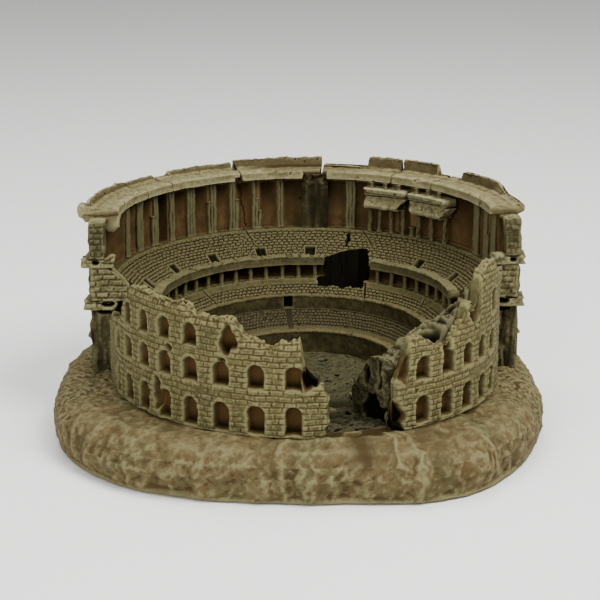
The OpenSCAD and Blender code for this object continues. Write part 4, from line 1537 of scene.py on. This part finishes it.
def felt_material():
    """Dark felt: fine fibres from stretched noise, and a little sheen."""
    material, tree, shader = new_material("felt")
    place = add_node(tree, "ShaderNodeTexCoord").outputs["Object"]
    inputs = {"Vector": place, "Scale": 4200.0, "Detail": 4.0, "Distortion": 1.2}
    fibre = add_node(tree, "ShaderNodeTexNoise", inputs).outputs["Fac"]
    colour = blend_node(tree, fibre, linear(38, 40, 32), linear(74, 76, 62))
    tree.links.new(colour, shader.inputs["Base Color"])
    bump = add_node(tree, "ShaderNodeBump", {"Height": fibre, "Distance": 0.0002, "Strength": 0.9})
    tree.links.new(bump.outputs["Normal"], shader.inputs["Normal"])
    shader.inputs["Roughness"].default_value = 0.95
    shader.inputs["Sheen Weight"].default_value = 0.4
    return material


def felt_grid():
    """Rings from the upper face's rim round the edge to the lower face."""
    high = node_points("felt_pad")[:, 2].max()
    turn = np.linspace(0, 360, 240, endpoint=False)[:, None]
    bend = np.linspace(-np.pi / 2, np.pi / 2, 7)[None, :]
    half = pad_r * 0.5 + 0 * turn
    r = np.hstack([half, pad_r - 0.4 + 0.35 * np.cos(bend) + 0 * turn, half])
    r = r + 0.05 * noise(np.cos(np.radians(turn)) * 40, np.sin(np.radians(turn)) * 40, 0.0, 1.0, 361)
    z = np.hstack([0 * turn, high / 2 + high / 2 * np.sin(bend) + 0 * turn, high + 0 * turn])
    x, y = spot(turn, r)
    return np.stack([x, y, z], -1), True, 0.0


write_piece("felt_base", [felt_grid()], felt_material(), ["felt_pad"])

# %% [markdown]
# ## Camera, light and floor
# The camera looks slightly down at the breach. The key light stands high on the right, a wider
# one fills from the front left, a third hangs over the back, and the floor is plain and pale.

# %% Camera and light
VIEW_TILT, VIEW_DISTANCE, LENS = 16.5, 0.42, 103.4
target = Vector((-0.0013, 0.0, 0.0306))


def camera():
    """A camera VIEW_DISTANCE metres from the target, VIEW_TILT degrees above the level."""
    data = bpy.data.cameras.new("camera")
    data.lens, data.sensor_width = LENS, 36
    holder = place_object("camera", data)
    tilt = np.radians(VIEW_TILT)
    holder.location = target + VIEW_DISTANCE * Vector((0, -np.cos(tilt), np.sin(tilt)))
    holder.rotation_euler = (np.pi / 2 - tilt, 0, 0)
    bpy.context.scene.camera = holder


def area_light(name, place, size, power):
    """A square soft light at place, aimed at the object."""
    data = bpy.data.lights.new(name, "AREA")
    data.size, data.energy = size, power
    holder = place_object(name, data)
    holder.location = place
    holder.rotation_euler = (target - Vector(place)).to_track_quat("-Z", "Y").to_euler()


def floor():
    """A pale floor, big enough to fill the view."""
    mesh = bpy.data.meshes.new("floor")
    half = 6.0
    corners = [(-half, -half, 0), (half, -half, 0), (half, half, 0), (-half, half, 0)]
    mesh.from_pydata(corners, [], [(0, 1, 2, 3)])
    ground = place_object("floor", mesh)
    material, _, shader = new_material("pale_floor")
    shader.inputs["Base Color"].default_value = linear(238, 238, 236)
    shader.inputs["Roughness"].default_value = 0.7
    mesh.materials.append(material)


camera()
floor()
area_light("key", (0.30, -0.22, 0.50), 0.3, 5.6)
area_light("fill", (-0.35, -0.55, 0.35), 0.6, 4.6)
area_light("top", (-0.06, 0.15, 0.60), 0.4, 2.8)
world = bpy.data.worlds.new("studio")
world.use_nodes = True
sky = world.node_tree.nodes["Background"].inputs
sky["Color"].default_value, sky["Strength"].default_value = (1, 1, 1, 1), 0.45
bpy.context.scene.world = world

# %% Number of pieces
print("pieces:", len(made))
